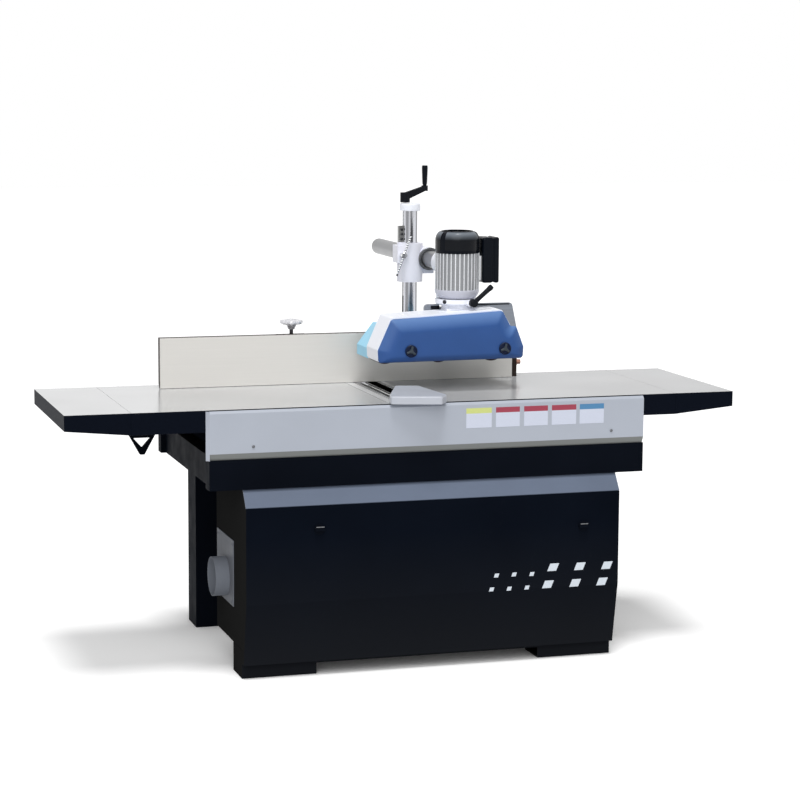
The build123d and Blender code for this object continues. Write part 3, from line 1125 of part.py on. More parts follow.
with BuildPart() as column:
    rod_z(COLUMN_X, COLUMN_Y, (BASE_TOP, COLUMN_TOP), COLUMN_RADIUS)
    block((COLUMN_X - COLUMN_RADIUS - REACH, COLUMN_X - COLUMN_RADIUS + COLUMN_GROOVE_DEPTH),
          (COLUMN_Y - COLUMN_GROOVE_HALF, COLUMN_Y + COLUMN_GROOVE_HALF), (BASE_TOP, COLUMN_TOP),
          mode=Mode.SUBTRACT)
save(column, "column")

with BuildPart() as lead_screw:
    rod_z(SCREW_X, COLUMN_Y, (SCREW_FOOT, CRANK_Z), SCREW_RADIUS)
save(lead_screw, "lead_screw")

with BuildPart() as column_cap:
    rod_z(COLUMN_X, COLUMN_Y, (COLUMN_TOP, CAP_TOP), CAP_RADIUS)
    chamfer(column_cap.edges().sort_by(Axis.Z)[-1:], CAP_EDGE)
    rod_z(SCREW_X, COLUMN_Y, (COLUMN_TOP - REACH, CAP_TOP + REACH), SCREW_RADIUS + RUNNING,
          mode=Mode.SUBTRACT)
save(column_cap, "column_cap")

with BuildPart() as crank_arm:
    arm_y = (COLUMN_Y - CRANK_ARM_WIDTH / 2, COLUMN_Y + CRANK_ARM_WIDTH / 2)
    hub_top = CRANK_Z + CRANK_HUB_HEIGHT
    rod_z(SCREW_X, COLUMN_Y, (CRANK_Z, hub_top), CRANK_HUB)
    prism_y([(SCREW_X, hub_top - CRANK_ARM_ROOT), (SCREW_X, hub_top), (GRIP_X, GRIP_Z),
             (GRIP_X, GRIP_Z - CRANK_ARM_DEPTH)], arm_y)
    rod_z(GRIP_X, COLUMN_Y, (GRIP_Z - CRANK_ARM_DEPTH, GRIP_Z), CRANK_EYE)
    rod_z(GRIP_X, COLUMN_Y, (GRIP_Z, GRIP_Z + GRIP_LENGTH - GRIP_CAP), GRIP_SPINDLE)
save(crank_arm, "crank_arm")

with BuildPart() as crank_grip:
    rod_z(GRIP_X, COLUMN_Y, (GRIP_Z + LOOSE, GRIP_Z + GRIP_LENGTH), GRIP_RADIUS)
    fillet(crank_grip.edges().filter_by(GeomType.CIRCLE), GRIP_EDGE)
    rod_z(GRIP_X, COLUMN_Y, (GRIP_Z, GRIP_Z + GRIP_LENGTH - GRIP_CAP + LOOSE), GRIP_SPINDLE + RUNNING,
          mode=Mode.SUBTRACT)
save(crank_grip, "crank_grip")

# Crosshead: sleeves for the column and the overarm, clamp lugs and the lead nut
with BuildPart() as crosshead:
    rod_z(COLUMN_X, COLUMN_Y, CROSSHEAD_Z, CROSSHEAD_RADIUS)
    rod_y(ARM_X, ARM_Z, ARM_SLEEVE_Y, ARM_SLEEVE)
    block((COLUMN_X, ARM_X), (COLUMN_Y - CROSSHEAD_WEB / 2, COLUMN_Y + CROSSHEAD_WEB),
          (ARM_Z - CROSSHEAD_WEB, ARM_Z + CROSSHEAD_WEB))
    block(CLAMP_LUG_X, CLAMP_LUG_Y, CLAMP_LUG_Z)
    block((ARM_X - ARM_LUG_WIDTH / 2, ARM_X + ARM_LUG_WIDTH / 2), ARM_LUG_Y, ARM_LUG_Z)
    rod_z(COLUMN_X, COLUMN_Y, (CROSSHEAD_Z[0] - REACH, CROSSHEAD_Z[1] + REACH), COLUMN_RADIUS + RUNNING,
          mode=Mode.SUBTRACT)
    rod_y(ARM_X, ARM_Z, (ARM_SLEEVE_Y[0] - REACH, ARM_SLEEVE_Y[1] + REACH), ARM_RADIUS + RUNNING,
          mode=Mode.SUBTRACT)
    rod_y(CLAMP_X, CLAMP_Z, (COLUMN_Y - CROSSHEAD_RADIUS, COLUMN_Y + CROSSHEAD_RADIUS),
          CLAMP_RADIUS + RUNNING, mode=Mode.SUBTRACT)
    block(NUT_X, (COLUMN_Y - NUT_WIDTH / 2, COLUMN_Y + NUT_WIDTH / 2), (CROSSHEAD_Z[1] - NUT_ROOT, NUT_TOP))
    rod_z(SCREW_X, COLUMN_Y, (CROSSHEAD_Z[1] - NUT_ROOT - REACH, NUT_TOP + REACH), SCREW_RADIUS + RUNNING,
          mode=Mode.SUBTRACT)
save(crosshead, "crosshead")

with BuildPart() as column_clamp:
    rod_y(CLAMP_X, CLAMP_Z, CLAMP_Y, CLAMP_RADIUS)
    rod_y(CLAMP_X, CLAMP_Z, (CLAMP_Y[0], CLAMP_Y[0] + CLAMP_HEAD_LENGTH), CLAMP_HEAD)
    with Locations((CLAMP_X, FRONT + CLAMP_Y[0] + CLAMP_HEAD_LENGTH / 2, CLAMP_Z)):
        Cylinder(TBAR_RADIUS, TBAR_LENGTH, rotation=(0, TBAR_ANGLE, 0))
save(column_clamp, "column_clamp")

with BuildPart() as overarm:
    rod_y(ARM_X, ARM_Z, (ARM_FRONT, ARM_TAIL), ARM_RADIUS)
    rod_y(ARM_X, ARM_Z, (ARM_FRONT - REACH, ARM_TAIL + REACH), ARM_RADIUS - ARM_WALL, mode=Mode.SUBTRACT)
save(overarm, "overarm")

# Feeder head: bracket, tilt frame, gear case, covers and rollers
with BuildPart() as head_bracket:
    rod_z(ARM_X, FEEDER_MOTOR_Y, (PAD_TOP, BRACKET_FOOT_TOP), BRACKET_NECK)
    flange_z = (BRACKET_FOOT_TOP - BRACKET_FLANGE_THICK, BRACKET_FOOT_TOP)
    rod_z(ARM_X, FEEDER_MOTOR_Y, flange_z, BRACKET_FLANGE)
    block((TILT_LEVER_X - TILT_LUG_HALF, TILT_LEVER_X + TILT_LUG_HALF), (TILT_LUG_FRONT, FEEDER_MOTOR_Y),
          (TILT_LEVER_Z - TILT_LEVER_HUB, BRACKET_FOOT_TOP))
    post_x = (ARM_X - BRACKET_POST_HALF, ARM_X + BRACKET_POST_HALF)
    block(post_x, (FEEDER_MOTOR_Y, BRACKET_BACK), (PAD_TOP, BRACKET_FOOT_TOP))
    block(post_x, (BRACKET_POST_FRONT, BRACKET_BACK), (BRACKET_FOOT_TOP, ARM_Z))
    rod_y(ARM_X, ARM_Z, BRACKET_BOSS_Y, BRACKET_BOSS)
    rod_y(ARM_X, ARM_Z, (ARM_FRONT - LOOSE, BRACKET_BOSS_Y[1] + REACH), ARM_RADIUS + RUNNING,
          mode=Mode.SUBTRACT)
    rod_y(TILT_LEVER_X, TILT_LEVER_Z, (TILT_LUG_FRONT - REACH, TILT_LUG_FRONT + TILT_LEVER_SINK + LOOSE),
          TILT_LEVER_STEM + RUNNING, mode=Mode.SUBTRACT)
save(head_bracket, "head_bracket")

with BuildPart() as tilt_frame:
    rear_top = max(z for x, z in REAR_OUTLINE)
    left, right = FRAME_PLATE_X
    bar_under = PAD_TOP - FRAME_PLATE_BAR
    leg_foot = PAD_TOP - FRAME_PLATE_DROP
    frame_top = PAD_TOP + FRAME_PLATE_RISE
    notch = (ARM_X - FRAME_PLATE_NOTCH, ARM_X + FRAME_PLATE_NOTCH)
    toe = right + FRAME_PLATE_FLARE
    prism_y([(left, rear_top), (left, frame_top), (notch[0], frame_top), (notch[0], PAD_TOP),
             (notch[1], PAD_TOP), (notch[1], frame_top), (right, frame_top), (toe, leg_foot),
             (toe - FRAME_PLATE_FLANK, leg_foot), (right - FRAME_PLATE_FLANK, bar_under),
             (left + FRAME_PLATE_LEG, bar_under), (left + FRAME_PLATE_LEG, rear_top)], FRAME_PLATE_Y)
    top_corners = tilt_frame.edges().filter_by(Axis.Y).group_by(Axis.Z)[-1].sort_by(Axis.X)
    fillet([top_corners[0], top_corners[-1]], FRAME_PLATE_CORNER)
save(tilt_frame, "tilt_frame")

with BuildPart() as feeder_body:
    prism_y(BODY_OUTLINE, (BODY_FRONT, BODY_BACK), COVER_CORNER)
    block((ARM_X - PAD_HALF, ARM_X + PAD_HALF), (PAD_FRONT, BODY_BACK), (PAD_TOP - PAD_DEPTH, PAD_TOP))
    prism_y(BODY_OUTLINE, (BODY_FRONT, BODY_BACK - BODY_BACK_WALL), COVER_CORNER, BODY_WALL,
            mode=Mode.SUBTRACT)
    for x in ROLLER_XS:
        rod_y(x, ROLLER_Z, (BODY_BACK - BODY_BACK_WALL - REACH, BODY_BACK + REACH), AXLE_RADIUS + RUNNING,
              mode=Mode.SUBTRACT)
save(feeder_body, "feeder_body")

with BuildPart() as front_cover:
    prism_y(COVER_OUTLINE, (COVER_FRONT, BODY_FRONT), COVER_CORNER)
    chamfer(front_cover.faces().sort_by(Axis.Y)[0].edges(), COVER_EDGE)
    prism_y(COVER_OUTLINE, (COVER_FRONT + COVER_WALL, BODY_FRONT), COVER_CORNER, COVER_EDGE,
            mode=Mode.SUBTRACT)
    for x in COVER_KNOB_XS:
        rod_y(x, COVER_KNOB_Z, (COVER_FRONT - REACH, BODY_FRONT), COVER_KNOB_STEM + RUNNING,
              mode=Mode.SUBTRACT)
save(front_cover, "front_cover")

with BuildPart() as rear_cover:
    inside_y = (BODY_BACK, REAR_COVER_BACK - COVER_WALL)
    cover_bottom = min(z for x, z in REAR_OUTLINE)
    prism_y(REAR_OUTLINE, (BODY_BACK, REAR_COVER_BACK), COVER_WALL)
    prism_y(REAR_OUTLINE, inside_y, 0, COVER_WALL, mode=Mode.SUBTRACT)
    block((REAR_OUTLINE[0][0] + COVER_WALL, REAR_OUTLINE[-1][0] - COVER_WALL), inside_y,
          (cover_bottom - REACH, cover_bottom + 2 * COVER_WALL), mode=Mode.SUBTRACT)
save(rear_cover, "rear_cover")

with BuildPart() as cover_knob_left:
    cover_knob(COVER_KNOB_XS[0])
save(cover_knob_left, "cover_knob_left")

with BuildPart() as cover_knob_right:
    cover_knob(COVER_KNOB_XS[1])
save(cover_knob_right, "cover_knob_right")

with BuildPart() as feed_roller_1:
    feed_roller(ROLLER_XS[0])
save(feed_roller_1, "feed_roller_1")

with BuildPart() as feed_roller_2:
    feed_roller(ROLLER_XS[1])
save(feed_roller_2, "feed_roller_2")

with BuildPart() as feed_roller_3:
    feed_roller(ROLLER_XS[2])
save(feed_roller_3, "feed_roller_3")

# Feeder motor, fan cover, switch box and clamp lever
with BuildPart() as feeder_motor:
    rod_z(ARM_X, FEEDER_MOTOR_Y, (BRACKET_FOOT_TOP, FEEDER_BELL_TOP), FEEDER_BELL)
    rod_z(ARM_X, FEEDER_MOTOR_Y, (FEEDER_BELL_TOP, FEEDER_FINS_TOP), FEEDER_MOTOR_CORE)
    fin = FEEDER_MOTOR_FINS - FEEDER_MOTOR_CORE + REACH
    with Locations((ARM_X, FRONT + FEEDER_MOTOR_Y, (FEEDER_BELL_TOP + FEEDER_FINS_TOP) / 2)):
        with PolarLocations(FEEDER_MOTOR_FINS - fin / 2, FEEDER_MOTOR_FIN_COUNT):
            Box(fin, FEEDER_MOTOR_FIN, FEEDER_FINS_TOP - FEEDER_BELL_TOP)
    block((ARM_X, SWITCH_X[0]), (FEEDER_MOTOR_Y - SWITCH_PAD_HALF, FEEDER_MOTOR_Y + SWITCH_PAD_HALF),
          SWITCH_PAD_Z)
save(feeder_motor, "feeder_motor")

with BuildPart() as fan_cover:
    rod_z(ARM_X, FEEDER_MOTOR_Y, (FEEDER_FINS_TOP, FAN_COVER_TOP), FAN_COVER_RADIUS)
    fillet(fan_cover.edges().filter_by(GeomType.CIRCLE).sort_by(Axis.Z)[-1:], FAN_COVER_EDGE)
save(fan_cover, "fan_cover")

with BuildPart() as switch_box:
    block(SWITCH_X, SWITCH_Y, SWITCH_Z)
    fillet(switch_box.edges().filter_by(Axis.Z) + switch_box.edges().filter_by(Axis.Y), SWITCH_CORNER)
save(switch_box, "switch_box")

with BuildPart() as tilt_lever:
    hub_y = (TILT_LUG_FRONT - LOOSE - TILT_LEVER_HUB_LENGTH, TILT_LUG_FRONT - LOOSE)
    lever_mid = (hub_y[0] + hub_y[1]) / 2
    rod_y(TILT_LEVER_X, TILT_LEVER_Z, hub_y, TILT_LEVER_HUB)
    rod_y(TILT_LEVER_X, TILT_LEVER_Z, (hub_y[1], TILT_LUG_FRONT + TILT_LEVER_SINK), TILT_LEVER_STEM)
    reach_x, reach_z = TILT_LEVER_REACH
    root = (TILT_LEVER_X, FRONT + lever_mid, TILT_LEVER_Z)
    with BuildSketch(Plane(origin=root, z_dir=(reach_x, 0, reach_z))):
        Circle(TILT_LEVER_BAR)
    extrude(amount=hypot(reach_x, reach_z))
    with Locations((TILT_LEVER_X + reach_x, FRONT + lever_mid, TILT_LEVER_Z + reach_z)):
        Sphere(TILT_LEVER_TIP)
save(tilt_lever, "tilt_lever")
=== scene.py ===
"""Surface planer with a power feeder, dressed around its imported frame.

Everything is in metres in the frame's axes: X along the tables, Y to the back,
Z up. Pieces that finish a solid take their shape from the frame, and the rest
are modelled here and seated on the solid that carries them.
"""

import json
import logging
import math
from collections.abc import Callable, Iterable
from dataclasses import dataclass, field
from enum import Enum

import bmesh
import bpy
from mathutils import Matrix, Vector
from mathutils.geometry import intersect_point_line


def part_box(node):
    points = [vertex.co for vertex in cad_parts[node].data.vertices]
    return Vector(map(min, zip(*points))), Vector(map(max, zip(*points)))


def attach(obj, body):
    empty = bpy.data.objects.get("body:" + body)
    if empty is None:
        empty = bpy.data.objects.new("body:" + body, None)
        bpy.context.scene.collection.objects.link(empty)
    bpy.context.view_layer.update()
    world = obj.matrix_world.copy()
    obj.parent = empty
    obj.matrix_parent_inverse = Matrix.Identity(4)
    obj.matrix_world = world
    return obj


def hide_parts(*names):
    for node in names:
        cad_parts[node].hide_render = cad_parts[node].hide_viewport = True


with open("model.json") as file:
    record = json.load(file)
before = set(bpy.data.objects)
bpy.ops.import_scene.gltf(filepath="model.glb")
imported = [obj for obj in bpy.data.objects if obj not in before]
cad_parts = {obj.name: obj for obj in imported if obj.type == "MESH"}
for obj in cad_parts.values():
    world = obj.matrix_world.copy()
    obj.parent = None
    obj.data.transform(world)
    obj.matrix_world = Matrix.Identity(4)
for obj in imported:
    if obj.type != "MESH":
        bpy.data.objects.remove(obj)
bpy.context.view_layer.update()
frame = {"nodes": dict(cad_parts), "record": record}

LOG = logging.getLogger("planer")

Colour = tuple[float, float, float]
Point = tuple[float, float, float] | Vector
Pair = tuple[float, float]
Pairs = tuple[Pair, ...]
Profile = list[Pair]
RimEdge = tuple[Vector, Vector, float]
Shape = bmesh.types.BMesh
Socket = bpy.types.NodeSocket
Value = float | Colour | Socket

ORIGIN: Point = (0.0, 0.0, 0.0)
PURE_WHITE: Colour = (1.0, 1.0, 1.0)
# Corners nearer than this are one corner, and faces at a smaller angle than this are one face
MERGE = 1e-5
FLAT = math.radians(0.8)
# Angle above which an edge is eased, and above which one stays sharp in the shading
KEEN = math.radians(40.0)
CREASE = math.radians(32.0)
# Weight of the large faces in the shading
LARGE_FACES = 100
# How far a piece is sunk into the one that carries it
SINK = 0.001
# Turn that keeps the noise's lattice off the machine's axes
GRAIN_TURN: Point = (0.5, 0.6, 0.7)
# Where most values of a noise lie, and the two ways to fade over a range
MIDDLE: Pair = (0.3, 0.7)
FADE_IN: Pair = (0.0, 1.0)
FADE_OUT: Pair = (1.0, 0.0)
# Places of factor, colours and result among the sockets of a colour mix
MIX_FACTOR = 0
MIX_FIRST = 6
MIX_LAST = 7
MIX_RESULT = 2


class Axis(Enum):
    """Directions that a turned piece or a fastener can point in."""

    LEFT = (-1.0, 0.0, 0.0)
    RIGHT = (1.0, 0.0, 0.0)
    FRONT = (0.0, -1.0, 0.0)
    BACK = (0.0, 1.0, 0.0)
    UP = (0.0, 0.0, 1.0)


class Grain(Enum):
    """Stretch of a streak pattern, small along the direction of the streaks."""

    X = (0.02, 1.0, 1.0)
    Y = (1.0, 0.02, 1.0)
    Z = (1.0, 1.0, 0.02)
    EVEN = (1.0, 1.0, 1.0)


class Ease(Enum):
    """How edges are eased: the radius and the facets of the rounding."""

    NONE = (0.0, 0)
    HAIR = (0.0006, 2)
    THIN = (0.0008, 2)
    PLATE = (0.001, 2)
    TABLE = (0.0012, 2)
    SHEET = (0.0015, 2)
    BED = (0.002, 2)
    CASTING = (0.002, 3)
    COVER = (0.003, 3)
    CASE = (0.003, 4)
    BOX = (0.004, 3)
    MOULDING = (0.004, 4)


class NodeBoard:
    """A node tree, with short calls that add nodes and link them."""

    def __init__(self, owner: bpy.types.Material | bpy.types.World) -> None:
        """Clears the tree of a material or of the world.

        Args:
            owner: What the tree belongs to.
        """
        owner.use_nodes = True
        self.tree = owner.node_tree
        self.tree.nodes.clear()

    def give(self, target: Socket, value: Value) -> None:
        """Links a socket to a target, or sets the target to a constant.

        Args:
            target: Socket that gets the value.
            value: Socket, number, colour or vector.
        """
        if isinstance(value, bpy.types.NodeSocket):
            self.tree.links.new(value, target)
        else:
            target.default_value = (*value, 1.0) if target.type == "RGBA" else value

    def add(self, kind: str, values: dict[str | int, Value], **choices: str) -> bpy.types.bpy_prop_collection:
        """Adds a shader node.

        Args:
            kind: Kind of the node.
            values: What its sockets get, by their name or place.
            choices: The node's own settings.

        Returns:
            The node's outputs.
        """
        node = self.tree.nodes.new(f"ShaderNode{kind}")
        for name, choice in choices.items():
            setattr(node, name, choice)
        for socket, value in values.items():
            self.give(node.inputs[socket], value)
        return node.outputs

    def combine(self, operation: str, first: Value, last: Value) -> Socket:
        """Joins two values by a math operation."""
        return self.add("Math", {0: first, 1: last}, operation=operation)[0]


class SurfaceBoard(NodeBoard):
    """The node tree of a finish, round one principled shader."""

    def __init__(self, name: str) -> None:
        """Starts a material.

        Args:
            name: Name of the material.
        """
        self.material = bpy.data.materials.new(name)
        super().__init__(self.material)
        self.place = self.add("TexCoord", {})
        self.shader = self.tree.nodes.new("ShaderNodeBsdfPrincipled")
        self.add("OutputMaterial", {"Surface": self.shader.outputs["BSDF"]})

    def feed(self, socket: str, value: Value) -> None:
        """Gives one of the shader's sockets its value."""
        self.give(self.shader.inputs[socket], value)

    def noise(
        self, size: float, detail: float = 3.0, grain: Grain = Grain.EVEN, shift: float = 0.0,
    ) -> Socket:
        """Adds a noise with blotches of a size in metres on the object's own coordinates."""
        return self.pattern(self.place["Object"], 1.0 / size, detail, grain, shift)

    def pattern(self, vector: Socket, scale: float, detail: float, grain: Grain, shift: float) -> Socket:
        """Adds a noise on any vector.

        Args:
            vector: Socket of the coordinates.
            scale: Blotches in one unit of them.
            detail: Octaves of finer noise.
            grain: Direction that the noise is drawn out in.
            shift: Offset that keeps two noises apart.

        Returns:
            The socket of the noise, from 0 to 1.
        """
        moves = {"Location": (shift, shift, shift), "Rotation": GRAIN_TURN, "Scale": grain.value}
        mapped = self.add("Mapping", {"Vector": vector, **moves})["Vector"]
        return self.add("TexNoise", {"Vector": mapped, "Scale": scale, "Detail": detail})[0]

    def span(self, source: Socket, limits: Pair, results: Pair = FADE_IN) -> Socket:
        """Maps the range of a value between two limits onto another range."""
        ends = zip(("From Min", "From Max", "To Min", "To Max"), (*limits, *results))
        return self.add("MapRange", {"Value": source, **dict(ends)})["Result"]

    def blend(self, factor: Socket, first: Value, last: Value) -> Socket:
        """Mixes two colours: the first where the factor is 0, the last where it is 1."""
        values = {MIX_FACTOR: factor, MIX_FIRST: first, MIX_LAST: last}
        return self.add("Mix", values, data_type="RGBA")[MIX_RESULT]

    def mottle(self, pattern: Socket, colour: Colour, depth: float) -> Socket:
        """Varies a colour up and down by a share of it, after a pattern."""
        return self.blend(self.span(pattern, MIDDLE), shade(colour, 1.0 - depth), shade(colour, 1.0 + depth))

    def part(self, vector: str, axis: str) -> Socket:
        """Takes the X, Y or Z of the object's coordinates or of its normal."""
        return self.add("SeparateXYZ", {0: self.place[vector]})[axis]

    def radius_from(self, centre: Point) -> Socket:
        """Distance of a place on the surface from an upright axis.

        Args:
            centre: A point on the axis.

        Returns:
            The socket of the distance in metres.
        """
        moves = {"Location": (-centre[0], -centre[1], 0.0), "Scale": (1.0, 1.0, 0.0)}
        flat = self.add("Mapping", {"Vector": self.place["Object"], **moves})["Vector"]
        return self.add("VectorMath", {0: flat}, operation="LENGTH")["Value"]

    def bump(self, height: Socket, strength: float, depth: float, below: Socket | None = None) -> Socket:
        """Adds a bump over an optional earlier one.

        Args:
            height: Socket of the height pattern.
            strength: Share of the bump that shows.
            depth: Height of the bump in metres.
            below: Socket of an earlier bump's normal.

        Returns:
            The socket of the bumped normal.
        """
        under = {} if below is None else {"Normal": below}
        values = {"Height": height, "Strength": strength, "Distance": depth, **under}
        return self.add("Bump", values)["Normal"]


def shade(colour: Colour, factor: float) -> Colour:
    """Makes a linear colour lighter or darker, clipped at white."""
    return tuple(min(1.0, part * factor) for part in colour)


@dataclass(frozen=True)
class Finish:
    """What every finish has: its name and its slot in the record."""

    name: str
    slot: str

    def material(self) -> bpy.types.Material:
        """Builds the material."""
        raise NotImplementedError(self.name)


@dataclass(frozen=True)
class Enamel(Finish):
    """Sprayed paint on metal, with orange peel, drift and rubbed patches; painted shade may darken downward
    faces and the upper part over a lighter foot, and faces along X may take a colour of their own.
    """

    colour: Colour
    roughness: float = 0.35
    gloss: float = 0.3
    drift: float = 0.1
    peel: float = 0.12
    peel_size: float = 0.003
    scuff: float = 0.05
    scuff_colour: Colour = (0.35, 0.36, 0.38)
    coat: float = 0.0
    coat_roughness: float = 0.12
    # Painted shade: a darker colour for the faces that look down, and the normal's Z over which it fades in
    underside_shade: Colour | None = None
    downward: Pair = (-0.3, -0.1)
    # A colour of its own for the faces that look along X, painted light on the outlet, and the normal's X
    # over which it fades in
    ends: Colour | None = None
    sideways: Pair = (0.6, 0.8)
    # Painted shade: how far a lighter colour fades in toward the foot, leaving the upper part darker as under
    # an overhang, that colour, and the heights it fades over
    shade_gradient: float = 0.0
    shade_gradient_colour: Colour = (0.0115, 0.0125, 0.015)
    shade_gradient_heights: Pair = (0.05, 0.45)

    def material(self) -> bpy.types.Material:
        """Builds the paint."""
        board = SurfaceBoard(self.name)
        paint = board.mottle(board.noise(size=0.35, detail=4.0), self.colour, self.drift)
        # Painted shade: faces that look down take a darker colour
        if self.underside_shade is not None:
            facing = board.span(board.part("Normal", "Z"), self.downward, FADE_OUT)
            paint = board.blend(facing, paint, self.underside_shade)
        # Painted shade: a lighter colour fades in toward the foot, so the upper part stays darker, as in the
        # shade under an overhang
        if self.shade_gradient > 0.0:
            foot = board.span(board.part("Object", "Z"), self.shade_gradient_heights, (self.shade_gradient, 0.0))
            paint = board.blend(foot, paint, self.shade_gradient_colour)
        # Faces that look along X take a colour of their own: the cabinet's ends a lighter grey than its
        # front, and the outlet's plate darker than its pipe, whose lighter colour is painted light from the
        # front
        if self.ends is not None:
            side = board.combine("ABSOLUTE", board.part("Normal", "X"), 0.0)
            paint = board.blend(board.span(side, self.sideways), paint, self.ends)
        worn = board.span(board.noise(size=0.02, detail=8.0, shift=3.1), (0.64, 0.7))
        rubbed = board.span(board.noise(size=0.4, detail=2.0, shift=7.7), (0.5, 0.7), (0.0, self.scuff))
        marks = board.combine("MULTIPLY", worn, rubbed)
        board.feed("Base Color", board.blend(marks, paint, self.scuff_colour))
        haze = board.noise(size=0.06, detail=5.0, shift=1.9)
        board.feed("Roughness", board.span(haze, MIDDLE, (self.roughness - 0.05, self.roughness + 0.09)))
        board.feed("Specular IOR Level", self.gloss)
        board.feed("Coat Weight", self.coat)
        board.feed("Coat Roughness", self.coat_roughness)
        peel = board.bump(board.noise(self.peel_size, detail=2.0), self.peel, depth=0.0004)
        fine = board.noise(size=0.0006, detail=2.0, shift=5.0)
        board.feed("Normal", board.bump(fine, self.peel / 2.0, 0.0001, peel))
        return board.material


@dataclass(frozen=True)
class GroundIron(Finish):
    """Cast iron table: the upward faces are ground bright, the sides painted."""

    metal: Colour = (0.56, 0.565, 0.575)
    side: Colour = (0.003, 0.0045, 0.009)
    stain: Colour = (0.47, 0.46, 0.45)
    metallic: float = 0.5
    roughness: float = 0.2
    side_gloss: float = 0.02
    side_roughness: Pair = (0.42, 0.54)
    upward: Pair = (0.6, 0.9)

    def material(self) -> bpy.types.Material:
        """Builds the two-tone casting."""
        board = SurfaceBoard(self.name)
        upward = board.span(board.part("Normal", "Z"), self.upward)
        lines = board.noise(size=0.002, detail=1.0, grain=Grain.X)
        bands = board.noise(size=0.2, detail=0.0, shift=2.3)
        cloud = board.noise(size=0.3, detail=1.0, shift=4.0)
        bright = board.mottle(lines, self.metal, depth=0.012)
        swept = board.blend(board.span(bands, (0.2, 0.8), (0.0, 0.6)), bright, shade(self.metal, 0.93))
        stained = board.blend(board.span(cloud, (0.4, 0.9), (0.0, 0.25)), swept, self.stain)
        cast = board.noise(size=0.004, detail=4.0, shift=8.0)
        painted = board.mottle(cast, self.side, depth=0.15)
        board.feed("Base Color", board.blend(upward, painted, stained))
        board.feed("Metallic", board.combine("MULTIPLY", upward, self.metallic))
        polish = board.span(bands, FADE_IN, (self.roughness - 0.05, self.roughness + 0.05))
        ground = board.combine("MULTIPLY", upward, polish)
        painted_part = board.span(upward, FADE_IN, FADE_OUT)
        rough = board.combine("MULTIPLY", painted_part, board.span(cast, MIDDLE, self.side_roughness))
        board.feed("Roughness", board.combine("ADD", ground, rough))
        board.feed("Specular IOR Level", self.side_gloss)
        grit = board.combine("MULTIPLY", painted_part, cast)
        board.feed("Normal", board.bump(grit, strength=0.15, depth=0.0003))
        return board.material


@dataclass(frozen=True)
class GroundFace(Finish):
    """Ground metal on the faces that look to the front, dark paint on the rest."""

    metal: Colour
    paint: Colour
    metallic: float = 0.2
    roughness: float = 0.38
    gloss: float = 0.3
    forward: Pair = (-0.8, -0.5)

    def material(self) -> bpy.types.Material:
        """Builds the ground plate."""
        board = SurfaceBoard(self.name)
        front = board.span(board.part("Normal", "Y"), self.forward, FADE_OUT)
        lines = board.noise(size=0.004, detail=4.0, grain=Grain.X)
        cloud = board.noise(size=0.2, detail=4.0, shift=6.0)
        ground = board.mottle(lines, self.metal, depth=0.012)
        clouded = board.blend(board.span(cloud, (0.45, 0.75), (0.0, 0.1)), ground, shade(self.metal, 0.85))
        board.feed("Base Color", board.blend(front, self.paint, clouded))
        board.feed("Metallic", board.combine("MULTIPLY", front, self.metallic))
        board.feed("Roughness", board.span(cloud, MIDDLE, (self.roughness - 0.04, self.roughness + 0.06)))
        board.feed("Specular IOR Level", self.gloss)
        board.feed("Normal", board.bump(lines, strength=0.1, depth=0.00005))
        return board.material


@dataclass(frozen=True)
class BrightMetal(Finish):
    """Bare metal with machining streaks in one direction, and dark bands painted round a bar by the way its
    surface faces, as painted reflections.
    """

    colour: Colour = (0.6, 0.6, 0.61)
    roughness: float = 0.25
    grain: Grain = Grain.X
    streak: float = 0.0015
    contrast: float = 0.08
    tarnish: float = 0.15
    tarnish_colour: Colour = (0.32, 0.3, 0.28)
    metallic: float = 1.0
    # Painted reflection: how dark the bands round a bar are, and the shift, scale and limits of their pattern
    bands: float = 0.0
    reflection_band_shift: float = 0.0
    reflection_band_scale: float = 2.1
    reflection_band_limits: Pair = (0.46, 0.56)
    least_roughness: float = 0.03

    def material(self) -> bpy.types.Material:
        """Builds the metal."""
        board = SurfaceBoard(self.name)
        lines = board.noise(self.streak, 4.0, self.grain)
        cloud = board.noise(size=0.08, detail=5.0, shift=6.0)
        metal = board.mottle(lines, self.colour, self.contrast)
        # Painted reflection: dark bands set by the direction of the normal, standing for dark things
        # reflected round a bar
        if self.bands > 0.0:
            turn = board.pattern(board.place["Normal"], self.reflection_band_scale, 1.0, Grain.Z, self.reflection_band_shift)
            dark = board.span(turn, self.reflection_band_limits, (0.0, self.bands))
            metal = board.blend(dark, metal, shade(self.colour, 0.25))
        aged = board.span(cloud, (0.5, 0.75), (0.0, self.tarnish))
        board.feed("Base Color", board.blend(aged, metal, self.tarnish_colour))
        board.feed("Metallic", self.metallic)
        clouded = board.span(cloud, MIDDLE, (0.0, 0.08))
        haze = board.combine("ADD", clouded, board.span(lines, MIDDLE, (0.0, 0.06)))
        polished = max(self.least_roughness, self.roughness - 0.07)
        board.feed("Roughness", board.combine("ADD", haze, polished))
        board.feed("Normal", board.bump(lines, strength=0.12, depth=0.00005))
        return board.material


